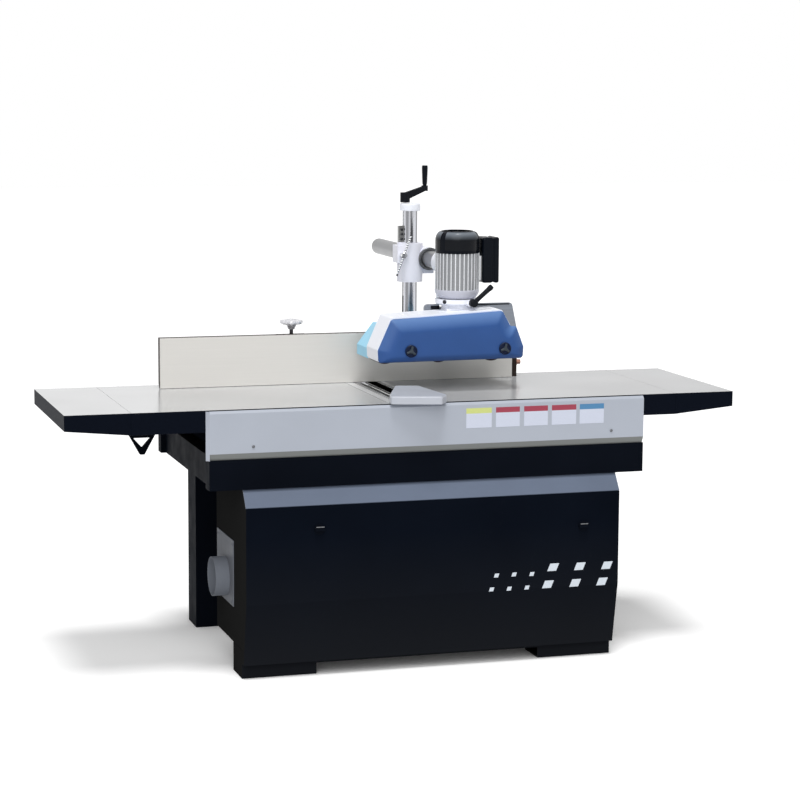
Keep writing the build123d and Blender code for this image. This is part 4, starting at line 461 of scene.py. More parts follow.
@dataclass(frozen=True)
class Moulding(Finish):
    """Moulded plastic with a fine skin, flow marks and a little dust, and a painted sheen that lightens the
    faces that look up.
    """

    colour: Colour
    roughness: float = 0.22
    gloss: float = 0.5
    dust: float = 0.04
    # Colour of the dust specks, and of the painted sheen on faces that look up
    dust_and_sheen_colour: Colour = (0.4, 0.4, 0.4)
    skin: float = 0.08
    # Painted highlight: how much the faces that look up are lightened, and the normal's Z over which it fades
    # in
    painted_sheen: float = 0.0
    upward: Pair = (0.1, 0.6)

    def material(self) -> bpy.types.Material:
        """Builds the plastic."""
        board = SurfaceBoard(self.name)
        body = board.mottle(board.noise(size=0.12), self.colour, depth=0.06)
        specks = board.span(board.noise(size=0.004, detail=6.0, shift=2.0), (0.6, 0.8), (0.0, self.dust))
        dusty = board.blend(specks, body, self.dust_and_sheen_colour)
        # Painted highlight: the faces that look up are lightened toward the sheen colour
        if self.painted_sheen > 0.0:
            upward = board.span(board.part("Normal", "Z"), self.upward, (0.0, self.painted_sheen))
            dusty = board.blend(upward, dusty, self.dust_and_sheen_colour)
        board.feed("Base Color", dusty)
        touch = board.noise(size=0.03, detail=4.0, shift=9.0)
        board.feed("Roughness", board.span(touch, MIDDLE, (self.roughness - 0.04, self.roughness + 0.08)))
        board.feed("Specular IOR Level", self.gloss)
        grain = board.noise(size=0.0012, detail=2.0, shift=4.0)
        board.feed("Normal", board.bump(grain, self.skin, depth=0.0001))
        return board.material


@dataclass(frozen=True)
class Rubber(Finish):
    """Moulded rubber, matt and a little chalky."""

    colour: Colour
    roughness: float = 0.75
    gloss: float = 0.15

    def material(self) -> bpy.types.Material:
        """Builds the rubber."""
        board = SurfaceBoard(self.name)
        chalk = board.span(board.noise(size=0.015, detail=6.0), (0.45, 0.8), (0.0, 0.35))
        board.feed("Base Color", board.blend(chalk, self.colour, shade(self.colour, 3.0)))
        wear = board.noise(size=0.01, detail=4.0, shift=3.0)
        board.feed("Roughness", board.span(wear, MIDDLE, (self.roughness - 0.1, self.roughness + 0.1)))
        board.feed("Specular IOR Level", self.gloss)
        board.feed("Normal", board.bump(board.noise(size=0.0015, shift=1.0), strength=0.3, depth=0.0003))
        return board.material


@dataclass(frozen=True)
class FinnedCasting(Finish):
    """Aluminium motor body with bright fin tips, and painted shade that darkens the roots between the fins.
    """

    centre: Point
    root: float
    tip: float
    metal: Colour = (0.7, 0.715, 0.74)
    # Painted shade in the roots between the fins
    shadow: Colour = (0.12, 0.124, 0.132)
    metallic: float = 0.6
    roughness: Pair = (0.26, 0.38)
    gloss: float = 0.3

    def material(self) -> bpy.types.Material:
        """Builds the casting."""
        board = SurfaceBoard(self.name)
        reach = board.span(board.radius_from(self.centre), (self.root, self.tip))
        cast = board.noise(size=0.003, detail=4.0)
        body = board.mottle(cast, self.metal, depth=0.06)
        # Painted shade: toward the roots between the fins the colour turns to the shadow colour
        board.feed("Base Color", board.blend(reach, self.shadow, body))
        board.feed("Metallic", board.combine("MULTIPLY", reach, self.metallic))
        board.feed("Roughness", board.span(cast, MIDDLE, self.roughness))
        board.feed("Specular IOR Level", self.gloss)
        board.feed("Normal", board.bump(cast, strength=0.15, depth=0.0003))
        return board.material


@dataclass(frozen=True)
class NutCasting(Finish):
    """Painted casting whose lead nut, above a level, is bare steel."""

    level: float
    paint: Colour = (0.86, 0.865, 0.95)
    metal: Colour = (0.3, 0.3, 0.295)
    roughness: Pair = (0.28, 0.4)
    gloss: float = 0.3
    joint: float = 0.001

    def material(self) -> bpy.types.Material:
        """Builds the two-part casting."""
        board = SurfaceBoard(self.name)
        above = board.span(board.part("Object", "Z"), (self.level, self.level + self.joint))
        skin = board.noise(size=0.004, detail=4.0)
        lines = board.noise(size=0.002, detail=4.0, grain=Grain.Z, shift=3.0)
        painted = board.mottle(board.noise(size=0.2), self.paint, depth=0.02)
        board.feed("Base Color", board.blend(above, painted, board.mottle(lines, self.metal, depth=0.3)))
        board.feed("Metallic", above)
        board.feed("Roughness", board.span(skin, MIDDLE, self.roughness))
        board.feed("Specular IOR Level", self.gloss)
        board.feed("Normal", board.bump(skin, strength=0.12, depth=0.0003))
        return board.material


@dataclass(frozen=True)
class Card(Finish):
    """Plain coated card with a coloured band along its top."""

    band: Colour
    band_bottom: float
    paper: Colour = (0.55, 0.585, 0.69)
    roughness: Pair = (0.32, 0.45)
    soft: float = 0.0004

    def material(self) -> bpy.types.Material:
        """Builds the card."""
        board = SurfaceBoard(self.name)
        limits = (self.band_bottom - self.soft, self.band_bottom + self.soft)
        upper = board.span(board.part("Object", "Z"), limits)
        fibre = board.noise(size=0.002, detail=5.0)
        paper = board.mottle(fibre, self.paper, depth=0.04)
        board.feed("Base Color", board.blend(upper, paper, board.mottle(fibre, self.band, depth=0.07)))
        board.feed("Roughness", board.span(board.noise(size=0.02, shift=2.0), MIDDLE, self.roughness))
        board.feed("Normal", board.bump(fibre, strength=0.05, depth=0.0001))
        return board.material


class Paint(Enum):
    """Every common finish on the machine."""

    # Painted shade: the cabinet is painted darker toward its top, as under the frame's overhang
    CABINET = Enamel(
        "cabinet_navy", "cabinet_paint", (0.0036, 0.0052, 0.0094), 0.5, 0.0, 0.15, 0.08, scuff=0.004,
        ends=(0.0155, 0.0155, 0.0155), shade_gradient=0.85,
    )
    STRIP = Enamel("strip_blue_grey", "strip_paint", (0.106, 0.132, 0.187), 0.4, 0.2, 0.08)
    # Painted shade: the apron's sloped foot, which looks down, is painted darker
    APRON = Enamel(
        "apron_grey", "apron_paint", (0.378, 0.407, 0.466), 0.38, 0.3, 0.05, underside_shade=(0.2, 0.21, 0.205),
    )
    FRAME = Enamel("frame_black", "frame_paint", (0.003, 0.0042, 0.0075), 0.55, 0.014, 0.2, scuff=0.006)
    BED = Enamel("bed_casting_paint", "bed_iron", (0.01, 0.011, 0.014), 0.5, 0.08, 0.2, 0.5, 0.004)
    TABLE = GroundIron("ground_table", "table_iron", (0.676, 0.681, 0.688))
    # Painted shade: the infeed tables are the same ground iron as the outfeed ones, painted darker for the
    # shade and dark reflections under the feeder
    INFEED_SHADED = GroundIron("ground_table_painted_shade", "table_iron", (0.5, 0.503, 0.51), metallic=0.25)
    # Painted shade: the lips' steel sides are painted near black, as the shade in the slots between their
    # teeth
    LIP = GroundIron("lip_steel_painted_shade_sides", "lip_steel", (0.8, 0.805, 0.815), (0.003, 0.003, 0.0035))
    STEEL = BrightMetal("turned_steel", "steel", (0.56, 0.565, 0.58), 0.2, Grain.EVEN, 0.004)
    # Painted reflection: the column gets dark bands down its length
    COLUMN = BrightMetal(
        "column_steel", "steel", (0.58, 0.59, 0.63), 0.22, Grain.Z, 0.002, 0.12, bands=0.75, reflection_band_shift=0.3,
    )
    ARM = BrightMetal("drawn_tube", "steel", (0.27, 0.272, 0.28), 0.36, Grain.Y)
    CHROME = BrightMetal("bright_chrome", "chrome", (0.7, 0.71, 0.73), 0.12, Grain.EVEN, 0.02, 0.03, 0.04)
    FENCE = GroundFace("fence_ground_face", "fence_face", (0.645, 0.63, 0.6), (0.03, 0.021, 0.018))
    FENCE_BACK = Enamel("fence_back_paint", "fence_paint", (0.03, 0.021, 0.018), 0.5, 0.08)
    GUARD = Enamel("guard_silver_paint", "guard_cast", (0.45, 0.472, 0.525), 0.34, 0.3, 0.05, 0.12, 0.002)
    WHITE = Enamel(
        "white_casting", "white_cast", (0.9, 0.92, 0.99), 0.34, 0.3, 0.02, 0.15, 0.004, 0.03,
        (0.5, 0.5, 0.5), 0.1,
    )
    BELL = Enamel("motor_bell_paint", "motor_alu", (0.56, 0.57, 0.65), 0.36, 0.3, 0.03, 0.2, 0.003)
    # Painted highlight: the blue cover's upper roll is painted paler, as the sheen of the light above it
    BLUE = Moulding(
        "cover_blue", "blue_cover", (0.021, 0.074, 0.245), 0.4, 0.28, 0.01, (0.15, 0.28, 0.55), painted_sheen=0.55,
    )
    PALE = Moulding("rear_cover_pale_blue", "pale_cover", (0.31, 0.66, 0.87), 0.32, 0.3, 0.01)
    BLACK = Moulding("black_moulding", "black_plastic", (0.003, 0.0045, 0.008), 0.2, 0.07, 0.02)
    # Painted highlight: the fan cover's panels are painted grey on their shoulders, as the reflection of the
    # light above
    BLACK_PANEL = Moulding(
        "black_panel", "black_plastic", (0.004, 0.005, 0.0075), 0.2, 0.12, 0.02, (0.3, 0.34, 0.39),
        painted_sheen=0.5,
    )
    BLACK_MATT = Moulding("black_matt_moulding", "black_plastic", (0.006, 0.007, 0.01), 0.45, 0.08, 0.03)
    KNOB = Moulding("knob_navy", "black_plastic", (0.003, 0.009, 0.035), 0.35, 0.15, 0.02)
    KNOB_WING = Moulding("knob_wing_grey", "black_plastic", (0.03, 0.042, 0.055), 0.4, 0.3, 0.04)
    FRAME_ALU = BrightMetal(
        "tilt_frame_alu", "silver_frame", (0.215, 0.235, 0.27), 0.34, Grain.X, 0.003, metallic=0.7,
    )
    ROLLER = Rubber("roller_rubber", "roller_rubber", (0.035, 0.02, 0.018))
    BELT = Rubber("belt_rubber", "belt_rubber", (0.014, 0.014, 0.015))
    # Painted light: the outlet's pipe is painted lighter than its plate, which looks along X, for the front
    # light it catches
    DUST = Enamel(
        "spout_grey", "dust_grey", (0.175, 0.19, 0.22), 0.45, 0.025, 0.1, ends=(0.122, 0.13, 0.148),
    )
    ZINC = BrightMetal("duct_zinc", "duct_zinc", (0.45, 0.46, 0.47), 0.42, Grain.EVEN, 0.02, 0.15, 0.3)
    MOTOR = Enamel("drive_motor_paint", "motor_paint", (0.055, 0.075, 0.11), 0.42, 0.25, 0.1, 0.3)
    BOX = Moulding("control_box_grey", "box_grey", (0.33, 0.34, 0.35), 0.45, 0.35, 0.05)
    START = Moulding("start_green", "start_green", (0.02, 0.3, 0.07), 0.25)
    STOP = Moulding("stop_red", "stop_red", (0.52, 0.018, 0.018), 0.25)
    DARK_STEEL = BrightMetal(
        "blackened_steel", "steel", (0.045, 0.045, 0.05), 0.35, Grain.EVEN, 0.004, 0.2, 0.1,
    )
    COLLAR = BrightMetal("collar_grey", "steel", (0.16, 0.165, 0.175), 0.4, Grain.EVEN, 0.004, 0.2, 0.1)
    SCREW = BrightMetal("plated_screw", "steel", (0.5, 0.5, 0.5), 0.28, Grain.EVEN, 0.002, 0.1, 0.2)
    COPPER = BrightMetal("copper_bit", "steel", (0.36, 0.19, 0.14), 0.36, Grain.EVEN, 0.003, 0.1, 0.2)
    DULL_CHROME = BrightMetal(
        "dull_chrome", "chrome", (0.66, 0.66, 0.69), 0.28, Grain.EVEN, 0.008, 0.2, 0.1, metallic=0.45,
    )
    MARK = Enamel("pale_mark", "apron_paint", (0.6, 0.65, 0.71), 0.45, 0.2, 0.03, 0.05, scuff=0.02)


Coat = Paint | Finish


class Palette:
    """Materials made once each, handed out by finish."""

    def __init__(self) -> None:
        """Starts with no material made."""
        self.made: dict[str, bpy.types.Material] = {}

    @staticmethod
    def recipe(coat: Coat) -> Finish:
        """Gives the finish itself, also for a common one."""
        return coat.value if isinstance(coat, Paint) else coat

    def of(self, coat: Coat) -> bpy.types.Material:
        """Gives the material of a finish, building it the first time.

        Args:
            coat: A common finish, or a finish itself.

        Returns:
            The material.
        """
        recipe = self.recipe(coat)
        if recipe.name not in self.made:
            self.made[recipe.name] = recipe.material()
        return self.made[recipe.name]


class Form:
    """Basic shapes cut, turned and bent with bmesh operators."""

    # Corners of a screw head, and a bolt's washer and eased top, as shares of the head
    SCREW_HEAD: Pairs = (
        (0.0, 0.0), (1.0, 0.0), (1.0, 0.4), (0.85, 0.8), (0.6, 1.0), (0.42, 1.0), (0.38, 0.45), (0.0, 0.4),
    )
    SCREW_STEPS: int = 20
    WASHER_RADIUS: float = 0.62
    WASHER_HEIGHT: float = 0.25
    WASHER_STEPS: int = 24
    BOLT_SIDES: int = 6
    BOLT_EASE: float = 0.12
    # A thread's root as a share of its core, its flanks as shares of its pitch, and facets in a turn
    THREAD_ROOT: float = 0.94
    THREAD_FLANKS: tuple[float, ...] = (0.12, 0.4, 0.6, 0.88)
    THREAD_STEPS: int = 14

    @staticmethod
    def slab(low: Point, high: Point, edge: float, segments: int = 2) -> Shape:
        """Makes a block with rounded edges.

        Args:
            low: Lowest corner.
            high: Highest corner.
            edge: Radius of the edges.
            segments: Facets of each rounded edge.

        Returns:
            The block.
        """
        bm = bmesh.new()
        bmesh.ops.create_cube(bm, size=1.0)
        bmesh.ops.scale(bm, vec=Vector(high) - Vector(low), verts=bm.verts)
        bmesh.ops.translate(bm, vec=(Vector(low) + Vector(high)) / 2.0, verts=bm.verts)
        Form.round_edges(bm, bm.edges[:], edge, segments)
        return bm

    @staticmethod
    def prism(sides: int, radius: float, height: float) -> Shape:
        """Makes an upright prism round the origin.

        Args:
            sides: Number of its sides.
            radius: Radius at its corners.
            height: Its height, half of it below the origin.

        Returns:
            The prism.
        """
        bm = bmesh.new()
        bmesh.ops.create_cone(
            bm, cap_ends=True, cap_tris=False, segments=sides, radius1=radius, radius2=radius, depth=height,
        )
        return bm

    @staticmethod
    def round_edges(bm: Shape, edges: list[bmesh.types.BMEdge], radius: float, segments: int = 2) -> None:
        """Rounds some edges of a shape.

        Args:
            bm: The shape.
            edges: Its edges to round.
            radius: Radius of the rounding.
            segments: Facets of the rounding.
        """
        bmesh.ops.bevel(
            bm, geom=edges, offset=radius, offset_type="OFFSET", affect="EDGES", segments=segments,
            profile=0.5, clamp_overlap=True, material=-1,
        )

    @staticmethod
    def swing(bm: Shape, centre: Point, axis: Axis, angle: float) -> None:
        """Turns a shape about an axis by an angle in degrees."""
        turn = Matrix.Rotation(math.radians(angle), 3, Vector(axis.value))
        bmesh.ops.rotate(bm, cent=centre, matrix=turn, verts=bm.verts)

    @staticmethod
    def line(points: list[Point]) -> Shape:
        """Draws a line through some points.

        Args:
            points: The points in order.

        Returns:
            The line, with no face.
        """
        bm = bmesh.new()
        corners = [bm.verts.new(point) for point in points]
        for pair in zip(corners, corners[1:]):
            bm.edges.new(pair)
        return bm

    @staticmethod
    def sweep(bm: Shape, angle: float, steps: int, rise: float = 0.0, whole: bool = False) -> None:
        """Sweeps a line or a face round the Z axis.

        Args:
            bm: The line or face, which grows.
            angle: Angle of the sweep in radians.
            steps: Facets of the sweep.
            rise: Advance of a step along the axis.
            whole: True for a full turn that closes on its start.
        """
        bmesh.ops.spin(
            bm, geom=bm.verts[:] + bm.edges[:] + bm.faces[:], cent=ORIGIN, axis=Axis.UP.value,
            dvec=(0.0, 0.0, rise), angle=angle, steps=steps, use_merge=whole, use_duplicate=False,
        )

    @staticmethod
    def settle(bm: Shape, place: Point, toward: Point) -> Shape:
        """Closes a shape made round the Z axis and lays it in place.

        Args:
            bm: The shape.
            place: Where its origin goes.
            toward: Direction that its Z axis goes in.

        Returns:
            The same shape.
        """
        bmesh.ops.remove_doubles(bm, verts=bm.verts, dist=MERGE)
        bmesh.ops.recalc_face_normals(bm, faces=bm.faces)
        turn = Vector(Axis.UP.value).rotation_difference(Vector(toward)).to_matrix().to_4x4()
        bmesh.ops.transform(bm, matrix=Matrix.Translation(Vector(place)) @ turn, verts=bm.verts)
        return bm

    @staticmethod
    def scaled(shares: Pairs, radius: float, length: float) -> Profile:
        """Gives a profile its size from shares of a radius and of a length."""
        return [(wide * radius, tall * length) for wide, tall in shares]

    @staticmethod
    def turned(profile: Profile, place: Point, toward: Point = Axis.UP.value, steps: int = 48) -> Shape:
        """Turns a profile round an axis.

        Args:
            profile: Radius and height of each corner.
            place: Where the profile's zero height lies.
            toward: Direction of the height.
            steps: Facets round the axis.

        Returns:
            The turned shape.
        """
        bm = Form.line([(radius, 0.0, height) for radius, height in profile])
        Form.sweep(bm, math.tau, steps, whole=True)
        return Form.settle(bm, place, toward)

    @staticmethod
    def rod(
        radius: float, length: float, place: Point, toward: Point = Axis.UP.value, steps: int = 48,
    ) -> Shape:
        """Turns a plain round bar from the middle of its first face."""
        bar = [(0.0, 0.0), (radius, 0.0), (radius, length), (0.0, length)]
        return Form.turned(bar, place, toward, steps)

    @staticmethod
    def ring(
        radii: Pair, length: float, place: Point, toward: Point = Axis.UP.value, edge: float = 0.001,
    ) -> Shape:
        """Turns a plain collar with eased edges.

        Args:
            radii: Inner and outer radius.
            length: Length along the axis.
            place: Middle of its first face.
            toward: Direction of its length.
            edge: Size of the eased edges.

        Returns:
            The collar.
        """
        inner, outer = radii
        first = [(inner, edge), (inner + edge, 0.0), (outer - edge, 0.0), (outer, edge)]
        last = [(radius, length - height) for radius, height in reversed(first)]
        return Form.turned(first + last + first[:1], place, toward)

    @staticmethod
    def thicken(bm: Shape, step: Point) -> None:
        """Grows a flat face into a plate.

        Args:
            bm: Shape that holds the face alone.
            step: Step from the face to the plate's other side.
        """
        grown = bmesh.ops.extrude_face_region(bm, geom=bm.faces[:], use_keep_orig=True)["geom"]
        moved = [item for item in grown if isinstance(item, bmesh.types.BMVert)]
        bmesh.ops.translate(bm, vec=step, verts=moved)
        bmesh.ops.recalc_face_normals(bm, faces=bm.faces)

    @staticmethod
    def plate(corners: list[Point], step: Point) -> Shape:
        """Makes a flat plate from its outline.

        Args:
            corners: Corners of its outline in order.
            step: Step from the outline to the plate's other side.

        Returns:
            The plate.
        """
        bm = bmesh.new()
        bm.faces.new([bm.verts.new(corner) for corner in corners])
        Form.thicken(bm, step)
        return bm

    @staticmethod
    def ridge(radii: Pair, pitch: float, length: float, place: Point, toward: Point) -> Shape:
        """Winds the ridge of a screw thread round a rod.

        Args:
            radii: Radius at the thread's root and at its crest.
            pitch: Advance of one turn.
            length: Length of the thread.
            place: Middle of the rod's first face.
            toward: Direction of the rod.

        Returns:
            The ridge, without the rod.
        """
        root, crest = radii[0] * Form.THREAD_ROOT, radii[1]
        bm = bmesh.new()
        section = zip((root, crest, crest, root), Form.THREAD_FLANKS)
        bm.faces.new([bm.verts.new((radius, 0.0, share * pitch)) for radius, share in section])
        turns = length / pitch - 1.0
        steps = int(turns * Form.THREAD_STEPS)
        Form.sweep(bm, math.tau * turns, steps, turns * pitch / steps)
        return Form.settle(bm, place, toward)

    @staticmethod
    def bolt(place: Point, toward: Point, across: float, height: float) -> Shape:
        """Makes a hexagon bolt head on a washer.

        Args:
            place: Where the washer sits.
            toward: Direction that the head stands out in.
            across: Width across the corners.
            height: Height of the head above the washer.

        Returns:
            The head and its washer.
        """
        washer = height * Form.WASHER_HEIGHT
        bm = Form.prism(Form.BOLT_SIDES, across / 2.0, height)
        bmesh.ops.translate(bm, vec=(0.0, 0.0, washer + height / 2.0), verts=bm.verts)
        crown = washer + height - MERGE
        top = [edge for edge in bm.edges if all(vert.co.z > crown for vert in edge.verts)]
        Form.round_edges(bm, top, height * Form.BOLT_EASE)
        Form.join(bm, Form.rod(across * Form.WASHER_RADIUS, washer, ORIGIN, steps=Form.WASHER_STEPS))
        return Form.settle(bm, place, toward)

    @staticmethod
    def screw(place: Point, toward: Point, radius: float, height: float) -> Shape:
        """Makes a domed screw head with a round socket in it."""
        return Form.turned(Form.scaled(Form.SCREW_HEAD, radius, height), place, toward, Form.SCREW_STEPS)

    @staticmethod
    def join(target: Shape, extra: Shape) -> None:
        """Adds one shape to another and frees it.

        Args:
            target: Shape that grows.
            extra: Shape that is added.
        """
        carrier = bpy.data.meshes.new("carrier")
        extra.to_mesh(carrier)
        extra.free()
        target.from_mesh(carrier)
        bpy.data.meshes.remove(carrier)

    @staticmethod
    def gather(shapes: Iterable[Shape]) -> Shape:
        """Joins several shapes into one.

        Args:
            shapes: The shapes, which are freed.

        Returns:
            The joined shape.
        """
        whole = bmesh.new()
        for shape in shapes:
            Form.join(whole, shape)
        return whole


class Workshop:
    """Turns shapes into pieces that ride on the frame's bodies."""

    def __init__(self, palette: Palette) -> None:
        """Reads which body carries each node.

        Args:
            palette: Where the materials come from.
        """
        self.palette = palette
        groups = frame["record"]["behaviour"]["bodies"]
        self.carrier = {node: body for body, nodes in groups.items() for node in nodes}

    def piece(self, name: str, bm: Shape, coat: Coat, body: str) -> bpy.types.Object:
        """Makes an object from a shape and lets it ride on a body.

        Args:
            name: Name of the piece.
            bm: Its shape, in place, which is freed.
            coat: Its finish.
            body: The body that carries it.

        Returns:
            The object.
        """
        bm.normal_update()
        for face in bm.faces:
            face.smooth = True
        for edge in bm.edges:
            edge.smooth = len(edge.link_faces) == 2 and edge.calc_face_angle(0.0) < CREASE
        mesh = bpy.data.meshes.new(name)
        bm.to_mesh(mesh)
        bm.free()
        if "custom_normal" in mesh.attributes:
            mesh.attributes.remove(mesh.attributes["custom_normal"])
        mesh.materials.clear()
        mesh.materials.append(self.palette.of(coat))
        obj = bpy.data.objects.new(name, mesh)
        bpy.context.scene.collection.objects.link(obj)
        even = obj.modifiers.new("even_shading", "WEIGHTED_NORMAL")
        even.keep_sharp = True
        even.weight = LARGE_FACES
        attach(obj, body)
        self.palette.recipe(coat).slot
        LOG.info("%s on %s, %d faces", name, body, len(mesh.polygons))
        return obj

    def stand_in(self, name: str, bm: Shape, coat: Coat, node: str) -> None:
        """Makes a piece that takes the place of a node."""
        obj = self.piece(name, bm, coat, self.carrier[node])
        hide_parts(node)

    def heads(
        self, name: str, places: list[Point], toward: Axis, size: Pair, coat: Coat, body: str = "base",
        make: Callable[..., Shape] = Form.screw,
    ) -> None:
        """Seats a set of equal screw or bolt heads as one piece."""
        self.piece(name, Form.gather(make(place, toward.value, *size) for place in places), coat, body)

    def solid(self, node: str) -> Shape:
        """Copies a node's mesh, merged and with its flat faces whole.

        Args:
            node: Name of the node.

        Returns:
            The copy.
        """
        bm = bmesh.new()
        bm.from_mesh(frame["nodes"][node].data)
        bmesh.ops.remove_doubles(bm, verts=bm.verts, dist=MERGE)
        bmesh.ops.dissolve_limit(
            bm, angle_limit=FLAT, use_dissolve_boundaries=False, verts=bm.verts, edges=bm.edges,
        )
        return bm

    def dress(self, node: str, coat: Coat, ease: Ease = Ease.NONE) -> None:
        """Finishes a node: a copy with eased edges takes its place.

        Args:
            node: Name of the node.
            coat: Its finish.
            ease: How its edges are eased.
        """
        bm = self.solid(node)
        if ease is not Ease.NONE:
            pairs = [line for line in bm.edges if len(line.link_faces) == 2]
            Form.round_edges(bm, [line for line in pairs if line.calc_face_angle(0.0) > KEEN], *ease.value)
        self.stand_in(f"{node}_finished", bm, coat, node)

    def paint(self, node: str, coat: Coat) -> None:
        """Gives a node that keeps its own mesh a finish."""
        obj = frame["nodes"][node]
        obj.data.materials.clear()
        obj.data.materials.append(self.palette.of(coat))


@dataclass
class Cabinet:
    """Plinth, cabinet, its front panel, dust outlet, legs and frame."""

    shop: Workshop
    small_mark: Point = (0.014, 0.004, 0.0125)
    large_mark: Point = (0.030, 0.010, 0.0240)
    mark_thickness: float = 0.0006
    small_places: Pairs = (
        (0.269, 0.294), (0.328, 0.294), (0.388, 0.292), (0.253, 0.250), (0.312, 0.249), (0.372, 0.249),
    )
    large_places: Pairs = (
        (0.460, 0.310), (0.551, 0.308), (0.644, 0.306), (0.443, 0.2554), (0.536, 0.2547), (0.628, 0.2540),
    )
    wing_half: float = 0.013
    wing_thick: float = 0.0016
    wing_round: float = 0.4
    spout_screw: Pair = (0.004, 0.002)
    spout_inset: float = 0.014
    spout_plate: float = 0.003

    def build(self) -> None:
        """Builds and dresses the whole base."""
        for node in ("front_panel", "plinth", "cabinet_panels"):
            self.shop.dress(node, Paint.CABINET, Ease.SHEET)
        self.shop.dress("trim_strip", Paint.STRIP, Ease.SHEET)
        for node in ("rear_legs", "base_frame", "motor_shelf"):
            self.shop.dress(node, Paint.FRAME, Ease.SHEET)
        self.latches()
        self.marks()
        self.spout()

    def latches(self) -> None:
        """Dresses the quarter-turn latches and tips their wings with bare metal."""
        for node in ("latch_left", "latch_right"):
            self.shop.dress(node, Paint.FRAME, Ease.PLATE)
            low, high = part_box(node)
            middle = (low + high) / 2.0
            face = low.y - self.wing_thick / 2.0
            tip_low = (middle.x - self.wing_half, face, middle.z - self.wing_thick)
            tip_high = (middle.x + self.wing_half, face + self.wing_thick, middle.z + self.wing_thick)
            tip = Form.slab(tip_low, tip_high, self.wing_thick * self.wing_round)
            self.shop.piece(f"{node}_wing_tip", tip, Paint.COLLAR, self.shop.carrier[node])

    def marks(self) -> None:
        """Lays the two rows of pale slanted marks on the front panel."""
        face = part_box("front_panel")[0].y
        sheet = bmesh.new()
        for places, (wide, lean, tall) in (
            (self.small_places, self.small_mark), (self.large_places, self.large_mark),
        ):
            for x, z in places:
                corners = [
                    (x + (side * wide + rise * lean) / 2.0, face, z + rise * tall / 2.0)
                    for side, rise in ((-1.0, -1.0), (1.0, -1.0), (1.0, 1.0), (-1.0, 1.0))
                ]
                Form.join(sheet, Form.plate(corners, (0.0, -self.mark_thickness, 0.0)))
        self.shop.piece("panel_marks", sheet, Paint.MARK, "base")

    def spout(self) -> None:
        """Dresses the dust outlet and its chute, and seats the outlet's painted screws."""
        self.shop.dress("dust_spout", Paint.DUST, Ease.THIN)
        self.shop.paint("dust_chute", Paint.ZINC)
        low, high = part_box("dust_spout")
        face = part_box("cabinet_panels")[0].x - self.spout_plate
        across = (low.y + self.spout_inset, high.y - self.spout_inset)
        heights = (low.z + self.spout_inset, high.z - self.spout_inset)
        places = [(face, y, z) for y in across for z in heights]
        self.shop.heads("spout_screws", places, Axis.LEFT, self.spout_screw, Paint.DUST)


@dataclass
class Tables:
    """Bed, tables, lips, apron with its cards, and the bracket below."""

    shop: Workshop
    cards: Pairs = (
        (0.1715, 0.2560), (0.2700, 0.3495), (0.3640, 0.4440), (0.4575, 0.5400), (0.5520, 0.6345),
    )
    card_low: float = 0.765
    card_high: float = 0.828
    card_band: float = 0.811
    card_thickness: float = 0.0005
    card_edge: float = 0.0002
    bands: tuple[Colour, ...] = (
        (0.55, 0.60, 0.20), (0.30, 0.03, 0.06), (0.30, 0.03, 0.06), (0.30, 0.03, 0.06), (0.06, 0.20, 0.38),
    )
    apron_screws: Pairs = ((-0.513, 0.735), (0.661, 0.739))
    screw: Pair = (0.0048, 0.003)
    slope: float = 0.020
    slope_in: float = 0.009
    trim: float = 0.010
    trim_thick: float = 0.0015

    def build(self) -> None:
        """Builds and dresses the tables and what carries them."""
        for node in ("outfeed_table", "outfeed_extension"):
            self.shop.dress(node, Paint.TABLE, Ease.TABLE)
        # The infeed tables take the darker copy of the ground iron, which is painted shade
        for node in ("infeed_table", "infeed_extension"):
            self.shop.dress(node, Paint.INFEED_SHADED, Ease.TABLE)
        for node in ("outfeed_lip", "infeed_lip"):
            self.shop.dress(node, Paint.LIP)
        self.shop.dress("table_bracket", Paint.FRAME, Ease.TABLE)
        self.shop.dress("bed", Paint.BED, Ease.BED)
        self.shop.dress("lift_shaft", Paint.STEEL, Ease.THIN)
        self.apron()
        self.trimmings()

    def apron(self) -> None:
        """Slopes the apron's lower edge in and folds its left end back."""
        low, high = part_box("apron")
        bm = self.shop.solid("apron")
        everything = bm.verts[:] + bm.edges[:] + bm.faces[:]
        level = (0.0, 0.0, low.z + self.slope)
        bmesh.ops.bisect_plane(bm, geom=everything, plane_co=level, plane_no=Axis.UP.value)
        foot = [vert for vert in bm.verts if vert.co.z < low.z + MERGE and vert.co.y < low.y + MERGE]
        bmesh.ops.translate(bm, vec=(0.0, self.slope_in, 0.0), verts=foot)
        self.shop.stand_in("apron_finished", bm, Paint.APRON, "apron")
        left, back = low.x - self.trim, low.y + self.trim
        corners = [(low.x, low.y, low.z), (left, back, low.z), (left, back, high.z), (low.x, low.y, high.z)]
        fold = Form.plate(corners, (0.0, self.trim_thick, 0.0))
        self.shop.piece("apron_end_fold", fold, Paint.APRON, "base")

    def trimmings(self) -> None:
        """Lays the blank cards in a row on the apron and seats its two screws."""
        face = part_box("apron")[0].y
        for number, ((left, right), band) in enumerate(zip(self.cards, self.bands), 1):
            low = (left, face - self.card_thickness, self.card_low)
            high = (right, face, self.card_high)
            stock = Card(f"card_stock_{number}", "apron_paint", band, self.card_band)
            card = Form.slab(low, high, self.card_edge, segments=1)
            self.shop.piece(f"apron_card_{number}", card, stock, "base")
        places = [(x, face, z) for x, z in self.apron_screws]
        self.shop.heads("apron_screws", places, Axis.FRONT, self.screw, Paint.COLLAR)


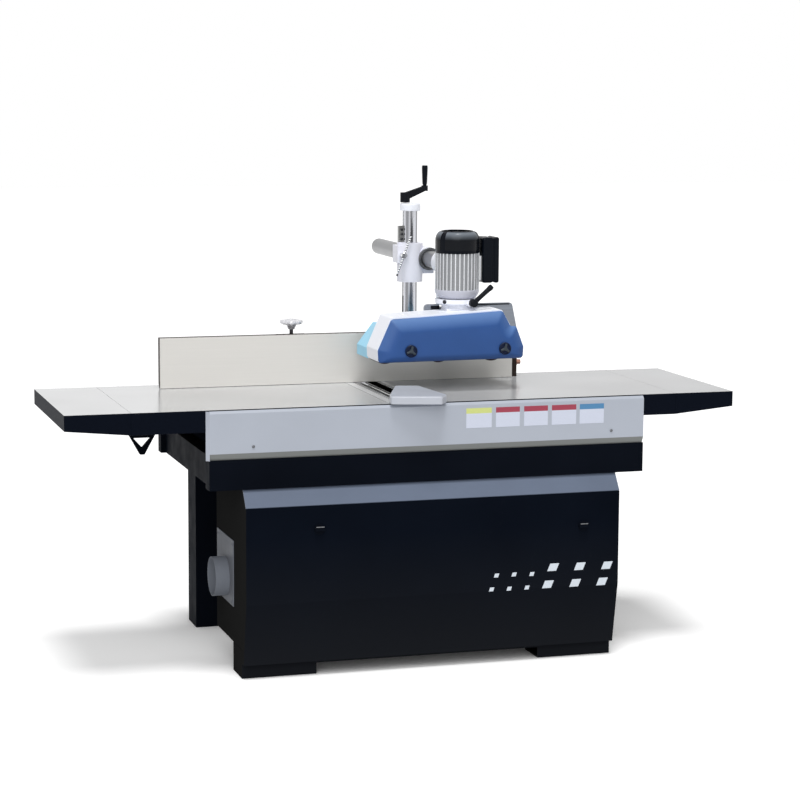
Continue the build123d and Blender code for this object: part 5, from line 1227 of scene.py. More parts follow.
@dataclass
class Drive:
    """Cutterhead, its bearings, belts, motor, guard and control box."""

    shop: Workshop
    steps: int = 64
    face_share: float = 0.6
    rim_share: float = 0.95
    front_round: Pair = (0.006, 0.014)
    rear_round: float = 0.008
    fins: int = 34
    fin_depth: float = 0.008
    fin_thick: float = 0.003
    fin_drop: float = 0.001
    fin_edge: float = 0.0008
    bell: float = 0.024
    foot_height: float = 0.026
    foot_inset: float = 0.030
    foot_half: float = 0.090
    bore: float = 0.0142
    bore_depth: float = 0.041
    terminal: Point = (0.026, 0.080, 0.070)
    terminal_sink: float = 0.004
    cast_edge: float = 0.004
    louvres: int = 6
    louvre_first: float = 0.1
    louvre_pitch: float = 0.02
    louvre: Point = (0.05, 0.004, 0.008)
    louvre_edge: float = 0.003
    guard_screw: Pair = (0.006, 0.004)
    guard_inset: float = 0.016
    guard_foot: float = 0.03
    guard_top: float = 0.06
    dome: Pairs = (
        (0.0, 0.0), (1.0, 0.0), (1.0, 0.7), (0.93, 0.9), (0.75, 1.0), (0.4, 0.97), (0.0, 0.95),
    )
    button_ring: float = 0.0035
    button_gap: float = 0.0006
    ring_height: float = 0.003
    ring_edge: float = 0.0006

    def build(self) -> None:
        """Builds and dresses the drive."""
        self.shop.dress("cutterhead", Paint.DARK_STEEL)
        self.shop.dress("knives", Paint.CHROME)
        self.shop.dress("cutter_bearings", Paint.BED, Ease.PLATE)
        self.shop.dress("drive_belts", Paint.BELT)
        self.shop.dress("motor_pulley", Paint.STEEL, Ease.HAIR)
        self.motor()
        self.belt_guard()
        self.controls()

    def motor(self) -> None:
        """Makes the finned motor, its foot and its terminal box in the place of the plain solid."""
        low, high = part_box("main_motor")
        radius = (high.x - low.x) / 2.0
        length = high.y - low.y
        axis = Vector(((low.x + high.x) / 2.0, low.y, high.z - radius))
        core = radius - self.fin_depth
        rim = radius * self.rim_share
        front, shoulder = self.front_round
        rear = length - self.bell
        shaft_end = length - self.bore_depth
        profile = [
            (0.0, 0.0), (core * self.face_share, 0.0), (rim, front), (radius, shoulder), (radius, self.bell),
            (core, self.bell), (core, rear), (radius, rear), (radius, length - self.rear_round),
            (rim, length), (self.bore, length), (self.bore, shaft_end), (0.0, shaft_end),
        ]
        body = Form.turned(profile, axis, Axis.BACK.value, self.steps)
        half = self.fin_thick / 2.0
        fin_low = (axis.x - half, low.y + self.bell - SINK, axis.z + core - 2.0 * SINK)
        fin_high = (axis.x + half, high.y - self.bell + SINK, axis.z + radius - self.fin_drop)
        for number in range(self.fins):
            fin = Form.slab(fin_low, fin_high, self.fin_edge, segments=1)
            Form.swing(fin, axis, Axis.BACK, 360.0 * (number + 0.5) / self.fins)
            Form.join(body, fin)
        foot_low = (axis.x - self.foot_half, low.y + self.foot_inset, low.z)
        foot_high = (axis.x + self.foot_half, high.y - self.foot_inset, low.z + self.foot_height)
        deep, long, tall = self.terminal
        box_low = (low.x - deep, axis.y + (length - long) / 2.0, axis.z - tall / 2.0)
        box_high = (low.x + self.terminal_sink, axis.y + (length + long) / 2.0, axis.z + tall / 2.0)
        for corners in ((foot_low, foot_high), (box_low, box_high)):
            Form.join(body, Form.slab(*corners, self.cast_edge, segments=3))
        self.shop.stand_in("main_motor_finned", body, Paint.MOTOR, "main_motor")

    def belt_guard(self) -> None:
        """Dresses the belt guard and adds louvres and screws to its back."""
        self.shop.dress("belt_guard", Paint.FRAME, Ease.COVER)
        low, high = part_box("belt_guard")
        middle = (low.x + high.x) / 2.0
        half, deep, tall = self.louvre
        louvres = bmesh.new()
        for step in range(self.louvres):
            z = low.z + self.louvre_first + self.louvre_pitch * step
            hood_low = (middle - half, high.y - SINK, z)
            hood_high = (middle + half, high.y + deep, z + tall)
            Form.join(louvres, Form.slab(hood_low, hood_high, self.louvre_edge, segments=3))
        self.shop.piece("belt_guard_louvres", louvres, Paint.FRAME, "base")
        across = (low.x + self.guard_inset, high.x - self.guard_inset)
        heights = (low.z + self.guard_foot, high.z - self.guard_top)
        places = [(x, high.y, z) for x in across for z in heights]
        self.shop.heads("belt_guard_screws", places, Axis.BACK, self.guard_screw, Paint.SCREW)

    def controls(self) -> None:
        """Dresses the start and stop station and rings its buttons."""
        self.shop.dress("control_box", Paint.BOX, Ease.BOX)
        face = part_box("control_box")[1].x
        toward = Axis.RIGHT.value
        rings = bmesh.new()
        for node, coat in (("start_button", Paint.START), ("stop_button", Paint.STOP)):
            low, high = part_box(node)
            middle = (low + high) / 2.0
            radius = (high.z - low.z) / 2.0
            dome = Form.scaled(self.dome, radius, high.x - low.x)
            self.shop.stand_in(f"{node}_dome", Form.turned(dome, (low.x, *middle.yz), toward), coat, node)
            radii = (radius + self.button_gap, radius + self.button_ring)
            Form.join(rings, Form.ring(radii, self.ring_height, (face, *middle.yz), toward, self.ring_edge))
        self.shop.piece("button_rings", rings, Paint.CHROME, "base")


@dataclass
class GuardAndFence:
    """Swinging cutter guard, fence plate, its carriages and lock knob."""

    shop: Workshop
    facets: int = 112
    lobes: int = 7
    lobe_depth: float = 0.035
    head_thick: float = 0.013
    head_round: float = 0.35
    head_lift: float = 0.003
    crown: float = 0.004
    crown_sink: float = 0.0005
    crown_shares: Pairs = ((0.0, 0.0), (0.6, 0.0), (0.4, 1.0), (0.0, 1.0))
    hub_top: float = 0.018
    hub_foot: float = 0.011
    hub_height: float = 0.017
    stem: float = 0.0063
    end_bolt_size: Pair = (0.018, 0.012)
    end_bolt_back: float = 0.010
    end_bolt_drop: float = 0.115

    def build(self) -> None:
        """Builds and dresses the guard and the fence."""
        self.shop.dress("guard", Paint.GUARD, Ease.COVER)
        self.shop.dress("fence_plate", Paint.FENCE, Ease.PLATE)
        self.shop.dress("fence_back", Paint.FENCE_BACK, Ease.PLATE)
        self.shop.dress("fence_mounts", Paint.FRAME, Ease.PLATE)
        self.knob()
        self.end_bolt()

    def knob(self) -> None:
        """Makes the fence's lock knob: a lobed bright head on a cone and a dark stem."""
        low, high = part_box("fence_knob")
        x, y, _ = (low + high) / 2.0
        radius = (high.x - low.x) / 2.0
        top = high.z + self.head_lift
        under = top - self.head_thick
        head = Form.prism(self.facets, radius, self.head_thick)
        for vert in head.verts:
            vert.co.xy *= 1.0 + self.lobe_depth * math.cos(self.lobes * math.atan2(vert.co.y, vert.co.x))
        rims = [edge for edge in head.edges if abs(edge.verts[0].co.z - edge.verts[1].co.z) < MERGE]
        Form.round_edges(head, rims, self.head_thick * self.head_round, segments=4)
        bmesh.ops.translate(head, vec=(x, y, top - self.head_thick / 2.0), verts=head.verts)
        cone = [
            (0.0, SINK), (self.hub_top, SINK), (self.hub_top, -SINK), (self.hub_foot, -self.hub_height),
            (0.0, -self.hub_height),
        ]
        Form.join(head, Form.turned(cone, (x, y, under)))
        crown = Form.scaled(self.crown_shares, radius, self.crown)
        Form.join(head, Form.turned(crown, (x, y, top - self.crown_sink)))
        self.shop.stand_in("fence_knob_head", head, Paint.DULL_CHROME, "fence_knob")
        stem = Form.rod(self.stem, under - self.hub_height - low.z, (x, y, low.z))
        self.shop.piece("fence_knob_stem", stem, Paint.DARK_STEEL, "fence_lock")

    def end_bolt(self) -> None:
        """Seats the copper-coloured bolt in the right end of the fence's back."""
        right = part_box("fence_back")[1].x
        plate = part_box("fence_plate")[1]
        place = (right, plate.y + self.end_bolt_back, plate.z - self.end_bolt_drop)
        bolt = Form.bolt(place, Axis.RIGHT.value, *self.end_bolt_size)
        self.shop.piece("fence_end_bolt", bolt, Paint.COPPER, "fence")


@dataclass
class FeederStand:
    """Column of the feeder with its foot, lead screw, crank and crosshead."""

    shop: Workshop
    pitch: float = 0.005
    thread_depth: float = 0.0011
    rod_steps: int = 24
    sleeve_top: float = 1.301
    sleeve_front: float = 0.624
    arm_radius: float = 0.028
    nut_rises: tuple[float, ...] = (0.012, 0.028, 0.044)
    nut_offset: float = -0.013
    nut_half: float = 0.007
    nut_screw: Pair = (0.0048, 0.0035)
    collar_length: float = 0.008
    collar_outer: float = 0.0385
    collar_gap: float = 0.0006
    collar_edge: float = 0.0015
    plate_thick: float = 0.018
    plate_inset: float = 0.020
    plate_bolt: Pair = (0.019, 0.008)
    tbar_radius: float = 0.004
    tbar_core: float = 0.72
    tbar_half: float = 0.074
    tbar_tilt: float = 20.0
    tbar_pitch: float = 0.0085
    tbar_steps: int = 16
    clamp_head: float = 0.010
    clamp_face: float = 0.8
    clamp_ease: float = 0.002
    clamp_neck: float = 0.001
    clamp_head_length: float = 0.014
    clamp_rod: float = 0.007
    clamp_steps: int = 32
    grip_shares: Pairs = (
        (0.0, 0.0), (0.62, 0.0), (0.68, 0.05), (0.8, 0.1), (0.86, 0.3), (0.94, 0.6), (1.0, 0.86),
        (0.96, 0.96), (0.8, 0.995), (0.0, 1.0),
    )

    def build(self) -> None:
        """Builds and dresses the stand."""
        self.shop.dress("column_base", Paint.WHITE, Ease.CASTING)
        self.shop.dress("column", Paint.COLUMN)
        self.shop.dress("column_cap", Paint.WHITE, Ease.CASTING)
        casting = NutCasting("crosshead_casting", "white_cast", self.sleeve_top)
        self.shop.dress("crosshead", casting, Ease.CASTING)
        self.shop.dress("overarm", Paint.ARM, Ease.PLATE)
        self.shop.dress("crank_arm", Paint.BLACK_MATT, Ease.CASTING)
        self.lead_screw()
        self.clamp()
        self.collar()
        self.nut_bolts()
        self.bolts()
        self.grip()

    def lead_screw(self) -> None:
        """Turns the lead screw and winds its thread."""
        low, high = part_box("lead_screw")
        crest = (high.x - low.x) / 2.0
        core = crest - self.thread_depth
        foot = (*((low + high) / 2.0).xy, low.z)
        length = high.z - low.z
        rod = Form.rod(core, length, foot, steps=self.rod_steps)
        Form.join(rod, Form.ridge((core, crest), self.pitch, length, foot, Axis.UP.value))
        self.shop.stand_in("lead_screw_threaded", rod, Paint.STEEL, "lead_screw")

    def clamp(self) -> None:
        """Makes the column clamp: its bolt, its head and the wound bar across it."""
        low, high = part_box("column_clamp")
        middle = (low + high) / 2.0
        length = high.y - low.y
        head = self.clamp_head_length
        profile = [
            (0.0, 0.0), (self.clamp_head * self.clamp_face, 0.0), (self.clamp_head, self.clamp_ease),
            (self.clamp_head, head), (self.clamp_rod, head + self.clamp_neck), (self.clamp_rod, length),
            (0.0, length),
        ]
        bolt = Form.turned(profile, (middle.x, low.y, middle.z), Axis.BACK.value, self.clamp_steps)
        self.shop.stand_in("column_clamp_bolt", bolt, Paint.CHROME, "column_clamp")
        tilt = math.radians(self.tbar_tilt)
        toward = Vector((math.sin(tilt), 0.0, math.cos(tilt)))
        foot = Vector((middle.x, low.y + head / 2.0, middle.z)) - toward * self.tbar_half
        core = self.tbar_radius * self.tbar_core
        span = self.tbar_half * 2.0
        bar = Form.rod(core, span, foot, toward, self.tbar_steps)
        self.shop.piece("clamp_bar_core", bar, Paint.DARK_STEEL, "clamp")
        wound = Form.ridge((core, self.tbar_radius), self.tbar_pitch, span, foot, toward)
        self.shop.piece("clamp_bar_winding", wound, Paint.CHROME, "clamp")

    def collar(self) -> None:
        """Seats the grey collar at the front of the overarm's sleeve."""
        low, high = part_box("overarm")
        middle = (low + high) / 2.0
        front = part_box("outfeed_table")[0].y + self.sleeve_front - self.collar_length
        radii = (self.arm_radius + self.collar_gap, self.collar_outer)
        place = (middle.x, front, middle.z)
        ring = Form.ring(radii, self.collar_length, place, Axis.BACK.value, self.collar_edge)
        self.shop.piece("sleeve_collar", ring, Paint.COLLAR, "crosshead")

    def nut_bolts(self) -> None:
        """Seats the small screws down the front of the lead nut."""
        low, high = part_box("lead_screw")
        x, y, _ = (low + high) / 2.0
        places = [(x + self.nut_offset, y - self.nut_half, self.sleeve_top + rise) for rise in self.nut_rises]
        self.shop.heads("lead_nut_screws", places, Axis.FRONT, self.nut_screw, Paint.DARK_STEEL, "crosshead")

    def bolts(self) -> None:
        """Seats the bolts that hold the column's foot."""
        low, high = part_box("column_base")
        across = (low.x + self.plate_inset, high.x - self.plate_inset)
        along = (low.y + self.plate_inset, high.y - self.plate_inset)
        places = [(x, y, low.z + self.plate_thick) for x in across for y in along]
        self.shop.heads(
            "column_base_bolts", places, Axis.UP, self.plate_bolt, Paint.DARK_STEEL, make=Form.bolt,
        )

    def grip(self) -> None:
        """Turns the crank's grip."""
        low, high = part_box("crank_grip")
        profile = Form.scaled(self.grip_shares, (high.x - low.x) / 2.0, high.z - low.z)
        grip = Form.turned(profile, (*((low + high) / 2.0).xy, low.z))
        self.shop.stand_in("crank_grip_turned", grip, Paint.BLACK, "crank_grip")


@dataclass
class FeederHead:
    """Feeder head: bracket, case, covers, knobs, rollers, motor and switch."""

    shop: Workshop
    cover_round: float = 0.050
    cover_depth: float = 0.019
    cover_foot: float = 0.020
    foot_tight: float = 2.4
    cover_cell: float = 0.004
    cover_edge: float = 0.008
    cover_near: float = 0.0002
    cover_front: float = -0.9
    knob_disc: float = 0.006
    knob_profile: Pairs = (
        (0.0, 0.0), (0.94, 0.0), (1.0, 0.001), (1.0, 0.006), (0.93, 0.0072), (0.84, 0.0072), (0.8, 0.0045),
        (0.0, 0.0045),
    )
    knob_steps: int = 40
    hub_foot: float = 0.007
    hub_top: float = 0.006
    hub_steps: int = 24
    wing_angles: tuple[float, ...] = (10.0, 130.0, 250.0)
    wing_reach: float = 0.0165
    wing_half: float = 0.0036
    wing_sink: float = 0.0016
    wing_drop: float = 0.0015
    wing_edge: float = 0.0022
    motor_steps: int = 72
    groove_floor: float = 0.0674
    fin_tip: float = 0.0705
    bell_profile: Pairs = (
        (0.0, 0.0), (0.0510, 0.0), (0.0575, 0.0025), (0.0635, 0.0070), (0.0685, 0.0135), (0.0715, 0.0205),
        (0.0728, 0.0270), (0.0728, 0.0300), (0.0665, 0.0306), (0.0, 0.0306),
    )
    bell_foot: float = 0.046
    bell_height: float = 0.026
    sleeve: float = 0.0682
    fan_lift: float = 0.0012
    fan_lip: float = 0.003
    fan_slope: Pair = (0.019, 0.031)
    shoulder_step: int = 15
    fan_mouth: float = 0.047
    fan_rim: float = 0.005
    fan_well: float = 0.012
    panel_count: int = 3
    panel_sweep: float = 104.0
    panel_steps: int = 14
    panel_foot: float = 0.010
    grille_rings: tuple[float, ...] = (0.011, 0.023, 0.035)
    grille_bar: float = 0.003
    grille_edge: float = 0.0007
    grille_lift: float = 0.003
    spoke_angles: tuple[float, ...] = (0.0, 45.0, 90.0, 135.0)
    spoke_half: float = 0.0015
    spoke_foot: float = -0.002
    spoke_top: float = 0.001
    spoke_edge: float = 0.0006
    switch_share: float = 0.68
    switch_edge: float = 0.009
    switch_seam: float = 0.0012
    switch_core: float = 0.003
    switch_small: float = 0.75
    switch_inner: float = 0.7
    lever_hub: float = 0.011
    lever_swell: float = 1.2
    lever_face: float = 0.7
    lever_ease: float = 0.002
    lever_hub_length: float = 0.018
    lever_hub_steps: int = 32
    lever_stem: float = 0.005
    lever_reach: Point = (0.058, 0.0, 0.050)
    lever_over: float = 0.006
    lever_offset: float = 0.030
    lever_steps: int = 28
    lever_handle: Pairs = (
        (0.0, 0.0), (0.0068, 0.0), (0.0068, 0.16), (0.0084, 0.2), (0.0076, 0.24), (0.0076, 0.55),
        (0.0083, 0.8), (0.0092, 0.88), (0.0092, 0.95), (0.0072, 1.0), (0.0, 1.0),
    )
    flange: float = 0.071
    flange_drop: float = 0.007
    flange_bolts: tuple[float, ...] = (218.0, 130.0)
    flange_bolt: Pair = (0.0068, 0.0045)
    # Painted shade: dark strips on the tilt frame, each from left to right and bottom to top
    shade_strips: tuple[tuple[float, float, float, float], ...] = (
        (0.166, 0.196, 1.1040, 1.1165), (0.325, 0.438, 1.1145, 1.1190),
    )
    shade_strip_proud: float = 0.0008
    shade_strip_edge: float = 0.0007

    def build(self) -> None:
        """Builds and dresses the head."""
        self.shop.dress("head_bracket", Paint.WHITE, Ease.CASTING)
        self.shop.dress("tilt_frame", Paint.FRAME_ALU, Ease.PLATE)
        self.shop.dress("feeder_body", Paint.WHITE, Ease.CASE)
        self.shop.dress("rear_cover", Paint.PALE, Ease.MOULDING)
        for number in (1, 2, 3):
            self.shop.dress(f"feed_roller_{number}", Paint.ROLLER, Ease.SHEET)
        self.front_cover()
        self.knobs()
        self.motor()
        self.fan()
        self.switch()
        self.lever()
        self.fittings()

    def front_cover(self) -> None:
        """Swells the blue cover: its front rolls back toward the rim."""
        low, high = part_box("front_cover")
        bm = self.shop.solid("front_cover")
        level = low.y + self.cover_edge
        flush = {vert for vert in bm.verts if abs(vert.co.y - level) < self.cover_near}
        others = [edge for edge in bm.edges if not flush.issuperset(edge.verts)]
        bmesh.ops.delete(bm, geom=bm.faces[:], context="FACES_ONLY")
        bmesh.ops.delete(bm, geom=others, context="EDGES")
        bmesh.ops.contextual_create(bm, geom=bm.edges[:])
        bmesh.ops.translate(bm, vec=(0.0, -self.cover_edge, 0.0), verts=bm.verts)
        rim = [self.rim_edge(edge, low.z + self.cover_foot) for edge in bm.edges]
        Form.thicken(bm, (0.0, high.y - low.y, 0.0))
        for axis, start, stop in ((Axis.RIGHT, low.x, high.x), (Axis.UP, low.z, high.z)):
            steps = int((stop - start) / self.cover_cell)
            for step in range(1, steps):
                place = Vector(axis.value) * (start + (stop - start) * step / steps)
                faces = [face for face in bm.faces if face.normal.y < self.cover_front]
                around = {item for face in faces for item in (*face.verts, *face.edges)}
                bmesh.ops.bisect_plane(bm, geom=[*faces, *around], plane_co=place, plane_no=axis.value)
        for vert in bm.verts:
            if vert.co.y < low.y + self.cover_near:
                vert.co.y += self.roll_back(vert.co, rim)
        self.shop.stand_in("front_cover_finished", bm, Paint.BLUE, "front_cover")

    def rim_edge(self, edge: bmesh.types.BMEdge, foot: float) -> RimEdge:
        """Notes the ends of one edge of the cover's outline, and how tight the front rolls there."""
        start, stop = (vert.co.copy() for vert in edge.verts)
        return start, stop, self.foot_tight if max(start.z, stop.z) < foot else 1.0

    def roll_back(self, place: Vector, rim: list[RimEdge]) -> float:
        """How far the cover's front lies back at a place.

        Args:
            place: Place on the flat front.
            rim: Ends and tightness of each edge of the front's outline.

        Returns:
            The depth in metres, greatest at the rim.
        """
        gaps = []
        for start, stop, tight in rim:
            along = intersect_point_line(place, start, stop)[1]
            nearest = start.lerp(stop, min(1.0, max(0.0, along)))
            gaps.append((place - nearest).length * tight)
        share = max(0.0, 1.0 - min(gaps) / self.cover_round)
        return self.cover_depth * share * share

    def knobs(self) -> None:
        """Makes the two cover knobs, each a dark disc with a three-armed wing."""
        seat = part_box("front_cover")[0].y
        toward = Axis.FRONT.value
        face = seat - self.knob_disc + self.wing_sink
        for node in ("cover_knob_left", "cover_knob_right"):
            low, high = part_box(node)
            x, _, z = (low + high) / 2.0
            profile = Form.scaled(self.knob_profile, (high.x - low.x) / 2.0, 1.0)
            disc = Form.turned(profile, (x, seat, z), toward, self.knob_steps)
            self.shop.stand_in(f"{node}_disc", disc, Paint.KNOB, node)
            tall = seat - low.y - self.knob_disc
            hub = [(0.0, 0.0), (self.hub_foot, 0.0), (self.hub_top, tall), (0.0, tall)]
            wing = Form.turned(hub, (x, face, z), toward, self.hub_steps)
            arm_low = (x - self.wing_half, low.y + self.wing_drop, z)
            arm_high = (x + self.wing_half, face, z + self.wing_reach)
            for angle in self.wing_angles:
                arm = Form.slab(arm_low, arm_high, self.wing_edge, segments=3)
                Form.swing(arm, (x, seat, z), Axis.BACK, angle)
                Form.join(wing, arm)
            self.shop.piece(f"{node}_wing", wing, Paint.KNOB_WING, self.shop.carrier[node])

    def motor(self) -> None:
        """Makes the feeder's motor: a finned casting, the floor of its grooves and a rounded bell."""
        low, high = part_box("feeder_motor")
        axis = self.motor_axis(low.z)
        bm = self.shop.solid("feeder_motor")
        for vert in bm.verts:
            out = vert.co - axis
            if out.z < MERGE and out.xy.length > self.bell_foot:
                vert.co.xy = axis.xy + out.xy.normalized() * self.bell_foot
        casting = FinnedCasting("finned_motor", "motor_alu", tuple(axis), self.groove_floor, self.fin_tip)
        self.shop.stand_in("feeder_motor_finned", bm, casting, "feeder_motor")
        foot = (axis.x, axis.y, low.z + self.bell_height)
        barrel = Form.rod(self.sleeve, high.z - foot[2], foot, steps=self.motor_steps)
        self.shop.piece("feeder_motor_barrel", barrel, casting, "head")
        bell = Form.turned(list(self.bell_profile), axis, steps=self.motor_steps)
        self.shop.piece("feeder_motor_bell", bell, Paint.BELL, "head")

    @staticmethod
    def motor_axis(level: float) -> Vector:
        """Point of the motor's axis at a level."""
        low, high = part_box("fan_cover")
        return Vector((*((low + high) / 2.0).xy, level))

    def fan_shoulder(self, wall: float, top: float) -> Profile:
        """Profile of the fan cover's rounded shoulder.

        Args:
            wall: Radius of the wall below it.
            top: Height of the flat top.

        Returns:
            Corners of the profile from the wall to the top.
        """
        wide, tall = self.fan_slope
        turns = [math.radians(angle) for angle in range(0, 91, self.shoulder_step)]
        return [(wall - wide * (1.0 - math.cos(turn)), top - tall * (1.0 - math.sin(turn))) for turn in turns]

    def fan(self) -> None:
        """Makes the fan cover: rounded shoulder, raised panels, a lip and a grille."""
        low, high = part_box("fan_cover")
        centre = self.motor_axis(low.z)
        top = high.z - low.z - self.fan_lip
        wall = (high.x - low.x) / 2.0 - self.fan_lift
        floor = top - self.fan_well
        well = [(self.fan_mouth, top), (self.fan_mouth, floor), (0.0, floor)]
        profile = [(0.0, 0.0), (wall, 0.0)] + self.fan_shoulder(wall, top) + well
        cover = Form.turned(profile, centre, steps=self.motor_steps)
        radii = (self.fan_mouth - SINK, self.fan_mouth + self.fan_rim)
        Form.join(cover, Form.ring(radii, self.fan_lip + SINK, self.motor_axis(low.z + top - SINK)))
        self.shop.stand_in("fan_cover_finished", cover, Paint.BLACK, "fan_cover")
        turns = [360.0 * number / self.panel_count for number in range(self.panel_count)]
        panels = Form.gather(self.panel(wall + self.fan_lift, top, centre, turn) for turn in turns)
        self.shop.piece("fan_cover_panels", panels, Paint.BLACK_PANEL, "head")
        grille = self.grille(self.motor_axis(low.z + floor + self.grille_lift))
        self.shop.piece("fan_cover_grille", grille, Paint.BLACK_MATT, "head")

    def panel(self, radius: float, top: float, centre: Point, angle: float) -> Shape:
        """Bends one raised panel of the fan cover over its shoulder.

        Args:
            radius: Outer radius of the panel.
            top: Height of the cover's top above its foot.
            centre: Foot of the cover on its axis.
            angle: Turn of the panel from the front in degrees.

        Returns:
            The panel in place.
        """
        profile = [(radius, self.panel_foot)] + self.fan_shoulder(radius, top + self.fan_lift)[:-1]
        bm = Form.line([(0.0, -reach, height) for reach, height in profile])
        Form.sweep(bm, math.radians(self.panel_sweep), self.panel_steps)
        bmesh.ops.recalc_face_normals(bm, faces=bm.faces)
        bmesh.ops.solidify(bm, geom=bm.faces[:], thickness=self.fan_lift * 2.0)
        Form.swing(bm, ORIGIN, Axis.UP, angle - self.panel_sweep / 2.0)
        bmesh.ops.translate(bm, vec=centre, verts=bm.verts)
        return bm

    def grille(self, centre: Vector) -> Shape:
        """Makes the grille in the fan cover's mouth.

        Args:
            centre: Middle of the grille.

        Returns:
            Its rings and spokes.
        """
        half = self.grille_bar / 2.0
        grille = Form.gather(
            Form.ring((radius - half, radius + half), self.grille_bar, centre, edge=self.grille_edge)
            for radius in self.grille_rings
        )
        reach = self.fan_mouth + SINK
        spoke_low = centre + Vector((-reach, -self.spoke_half, self.spoke_foot))
        spoke_high = centre + Vector((reach, self.spoke_half, self.spoke_top))
        for angle in self.spoke_angles:
            spoke = Form.slab(spoke_low, spoke_high, self.spoke_edge, segments=1)
            Form.swing(spoke, centre, Axis.UP, angle)
            Form.join(grille, spoke)
        return grille

    def switch(self) -> None:
        """Makes the switch box from two rounded halves with a seam between them."""
        low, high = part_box("switch_box")
        seam = low.x + (high.x - low.x) * self.switch_share
        gap = self.switch_seam / 2.0
        inset = Vector((self.switch_core, self.switch_core, self.switch_core))
        box = Form.slab(low, (seam - gap, high.y, high.z), self.switch_edge, segments=5)
        small = self.switch_edge * self.switch_small
        Form.join(box, Form.slab((seam + gap, low.y, low.z), high, small, segments=5))
        inner = self.switch_edge * self.switch_inner
        Form.join(box, Form.slab(low + inset, high - inset, inner, segments=3))
        self.shop.stand_in("switch_box_halves", box, Paint.BLACK, "switch_box")

    def lever(self) -> None:
        """Turns the tilt clamp lever: hub, stem and a ribbed handle that flares."""
        low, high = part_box("tilt_lever")
        x = self.motor_axis(low.z).x + self.lever_offset
        z = low.z + self.lever_hub
        wide = self.lever_hub * self.lever_swell
        end = self.lever_hub_length
        length = high.y - low.y
        hub = [
            (0.0, 0.0), (wide * self.lever_face, 0.0), (wide, self.lever_ease), (wide, end),
            (self.lever_stem, end), (self.lever_stem, length), (0.0, length),
        ]
        shape = Form.turned(hub, (x, low.y, z), Axis.BACK.value, self.lever_hub_steps)
        reach = Vector(self.lever_reach)
        handle = Form.scaled(self.lever_handle, 1.0, reach.length + self.lever_over)
        Form.join(shape, Form.turned(handle, (x, low.y + end / 2.0, z), reach.normalized(), self.lever_steps))
        self.shop.stand_in("tilt_lever_turned", shape, Paint.BLACK_MATT, "tilt_lever")

    def fittings(self) -> None:
        """Seats the socket bolts in the bracket's flange and lays dark strips on the tilt frame as painted
        shade along its rims.
        """
        centre = self.motor_axis(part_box("feeder_motor")[0].z - self.flange_drop)
        bolts = bmesh.new()
        for angle in self.flange_bolts:
            toward = Vector((math.cos(math.radians(angle)), math.sin(math.radians(angle)), 0.0))
            place = centre + toward * (self.flange - SINK)
            Form.join(bolts, Form.screw(place, toward, *self.flange_bolt))
        self.shop.piece("flange_bolts", bolts, Paint.DARK_STEEL, "head")
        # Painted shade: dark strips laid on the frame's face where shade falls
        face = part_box("tilt_frame")[0].y
        shade_strips = Form.gather(
            Form.slab((left, face - self.shade_strip_proud, bottom), (right, face + SINK, top), self.shade_strip_edge)
            for left, right, bottom, top in self.shade_strips
        )
        self.shop.piece("tilt_frame_shade_strips", shade_strips, Paint.BLACK_MATT, "head")


@dataclass
class Lamp:
    """A soft lamp with no fall-off."""

    name: str
    strength: float
    spread: float
    direction: Point


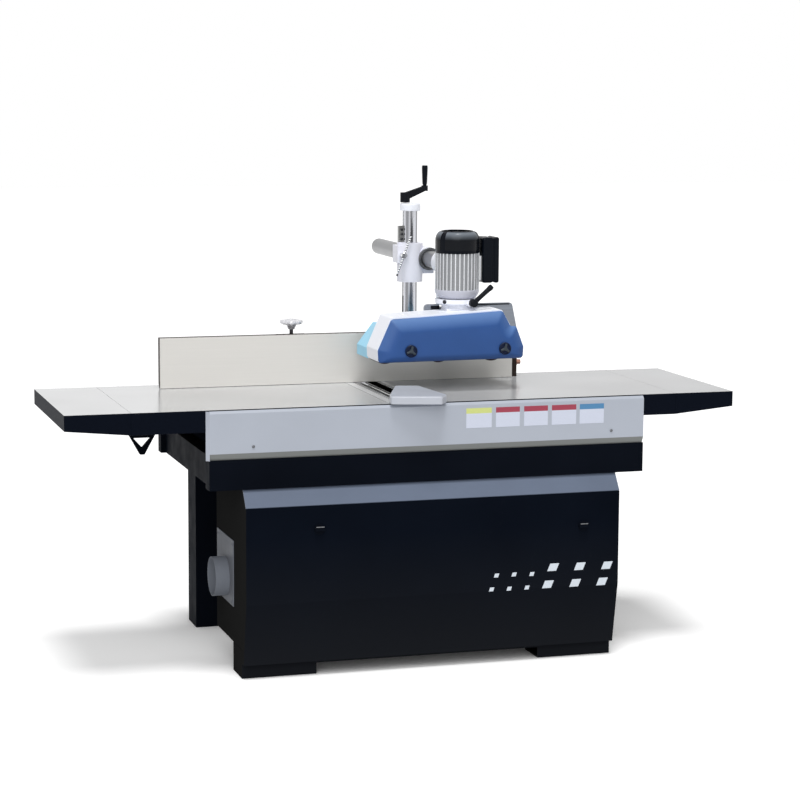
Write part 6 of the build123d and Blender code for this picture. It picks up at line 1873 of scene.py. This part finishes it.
@dataclass
class Studio:
    """Floor, background, lamps and the camera."""

    floor_size: float = 60.0
    floor_albedo: float = 0.95
    floor_lift: float = 0.25
    # Reach of the painted shadow that fades the floor's glow under the machine
    shadow_fade_reach: float = 0.25
    ambient: float = 0.2
    backdrop: float = 1.0
    lamps: list[Lamp] = field(default_factory=lambda: [
        Lamp("top_soft", 1.75, 16.0, (0.05, 0.25, -1.0)),
        Lamp("front_soft", 1.66, 50.0, (0.42, 1.0, -0.8)),
    ])
    lens: float = 104.9625
    sensor: float = 36.0
    location: Point = (-2.151, -7.4377, 1.866)
    yaw: float = 17.084
    pitch: float = 7.974
    roll: float = 0.347

    def build(self) -> None:
        """Builds the studio."""
        bpy.context.scene.view_settings.view_transform = "Standard"
        self.background()
        self.floor()
        self.light()
        self.camera()

    @staticmethod
    def seen(board: NodeBoard) -> Socket:
        """Adds the test for rays that show the background.

        Args:
            board: Node tree that gets the test.

        Returns:
            The socket that is 1 for camera, glossy and transmission rays.
        """
        path = board.add("LightPath", {})
        first = board.combine("MAXIMUM", path["Is Camera Ray"], path["Is Glossy Ray"])
        return board.combine("MAXIMUM", first, path["Is Transmission Ray"])

    def background(self) -> None:
        """Makes a white background that lights the object at a plain level."""
        world = bpy.data.worlds.new("studio_white")
        board = NodeBoard(world)
        soft, white = (
            board.add("Background", {"Color": PURE_WHITE, "Strength": strength})[0]
            for strength in (self.ambient, self.backdrop)
        )
        mixed = board.add("MixShader", {0: self.seen(board), 1: soft, 2: white})[0]
        board.add("OutputWorld", {"Surface": mixed})
        bpy.context.scene.world = world

    def floor(self) -> None:
        """Lays a pale floor that keeps the machine's shadow, with its glow faded by ambient occlusion under
        and beside the machine as a painted shadow.
        """
        bm = bmesh.new()
        bmesh.ops.create_grid(bm, x_segments=1, y_segments=1, size=self.floor_size / 2.0)
        mesh = bpy.data.meshes.new("studio_floor")
        bm.to_mesh(mesh)
        bm.free()
        material = bpy.data.materials.new("pale_floor")
        board = NodeBoard(material)
        diffuse = board.add("BsdfDiffuse", {"Color": shade(PURE_WHITE, self.floor_albedo)})[0]
        # Painted shadow: the floor's glow fades where the machine covers it
        cover = board.add("AmbientOcclusion", {"Distance": self.shadow_fade_reach})["AO"]
        strength = board.combine("MULTIPLY", self.seen(board), cover)
        lift = board.add("Emission", {"Color": shade(PURE_WHITE, self.floor_lift), "Strength": strength})[0]
        both = board.add("AddShader", {0: diffuse, 1: lift})[0]
        board.add("OutputMaterial", {"Surface": both})
        mesh.materials.append(material)
        obj = bpy.data.objects.new("studio_floor", mesh)
        bpy.context.scene.collection.objects.link(obj)

    def light(self) -> None:
        """Hangs the soft lamps."""
        for lamp in self.lamps:
            data = bpy.data.lights.new(lamp.name, "SUN")
            data.energy = lamp.strength
            data.angle = math.radians(lamp.spread)
            obj = bpy.data.objects.new(lamp.name, data)
            obj.rotation_euler = Vector(lamp.direction).to_track_quat("-Z", "Y").to_euler()
            bpy.context.scene.collection.objects.link(obj)

    def camera(self) -> None:
        """Sets the camera where the photograph was taken from."""
        yaw, pitch, roll = (math.radians(angle) for angle in (self.yaw, self.pitch, self.roll))
        ahead = Vector((math.sin(yaw) * math.cos(pitch), math.cos(yaw) * math.cos(pitch), -math.sin(pitch)))
        level = Vector((math.cos(yaw), -math.sin(yaw), 0.0))
        rise = level.cross(ahead)
        right = level * math.cos(roll) + rise * math.sin(roll)
        up = rise * math.cos(roll) - level * math.sin(roll)
        data = bpy.data.cameras.new("photo_camera")
        data.lens = self.lens
        data.sensor_width = self.sensor
        obj = bpy.data.objects.new("photo_camera", data)
        turn = Matrix((right, up, -ahead)).transposed()
        obj.matrix_world = Matrix.Translation(Vector(self.location)) @ turn.to_4x4()
        bpy.context.scene.collection.objects.link(obj)
        bpy.context.scene.camera = obj


def main() -> None:
    """Builds the machine piece by piece, then the studio round it."""
    logging.basicConfig(level=logging.INFO, format="%(name)s: %(message)s")
    shop = Workshop(Palette())
    for kind in (Cabinet, Tables, Drive, GuardAndFence, FeederStand, FeederHead):
        kind(shop).build()
        LOG.info("%s done", kind.__name__)
    Studio().build()


if __name__ == "__main__":
    main()
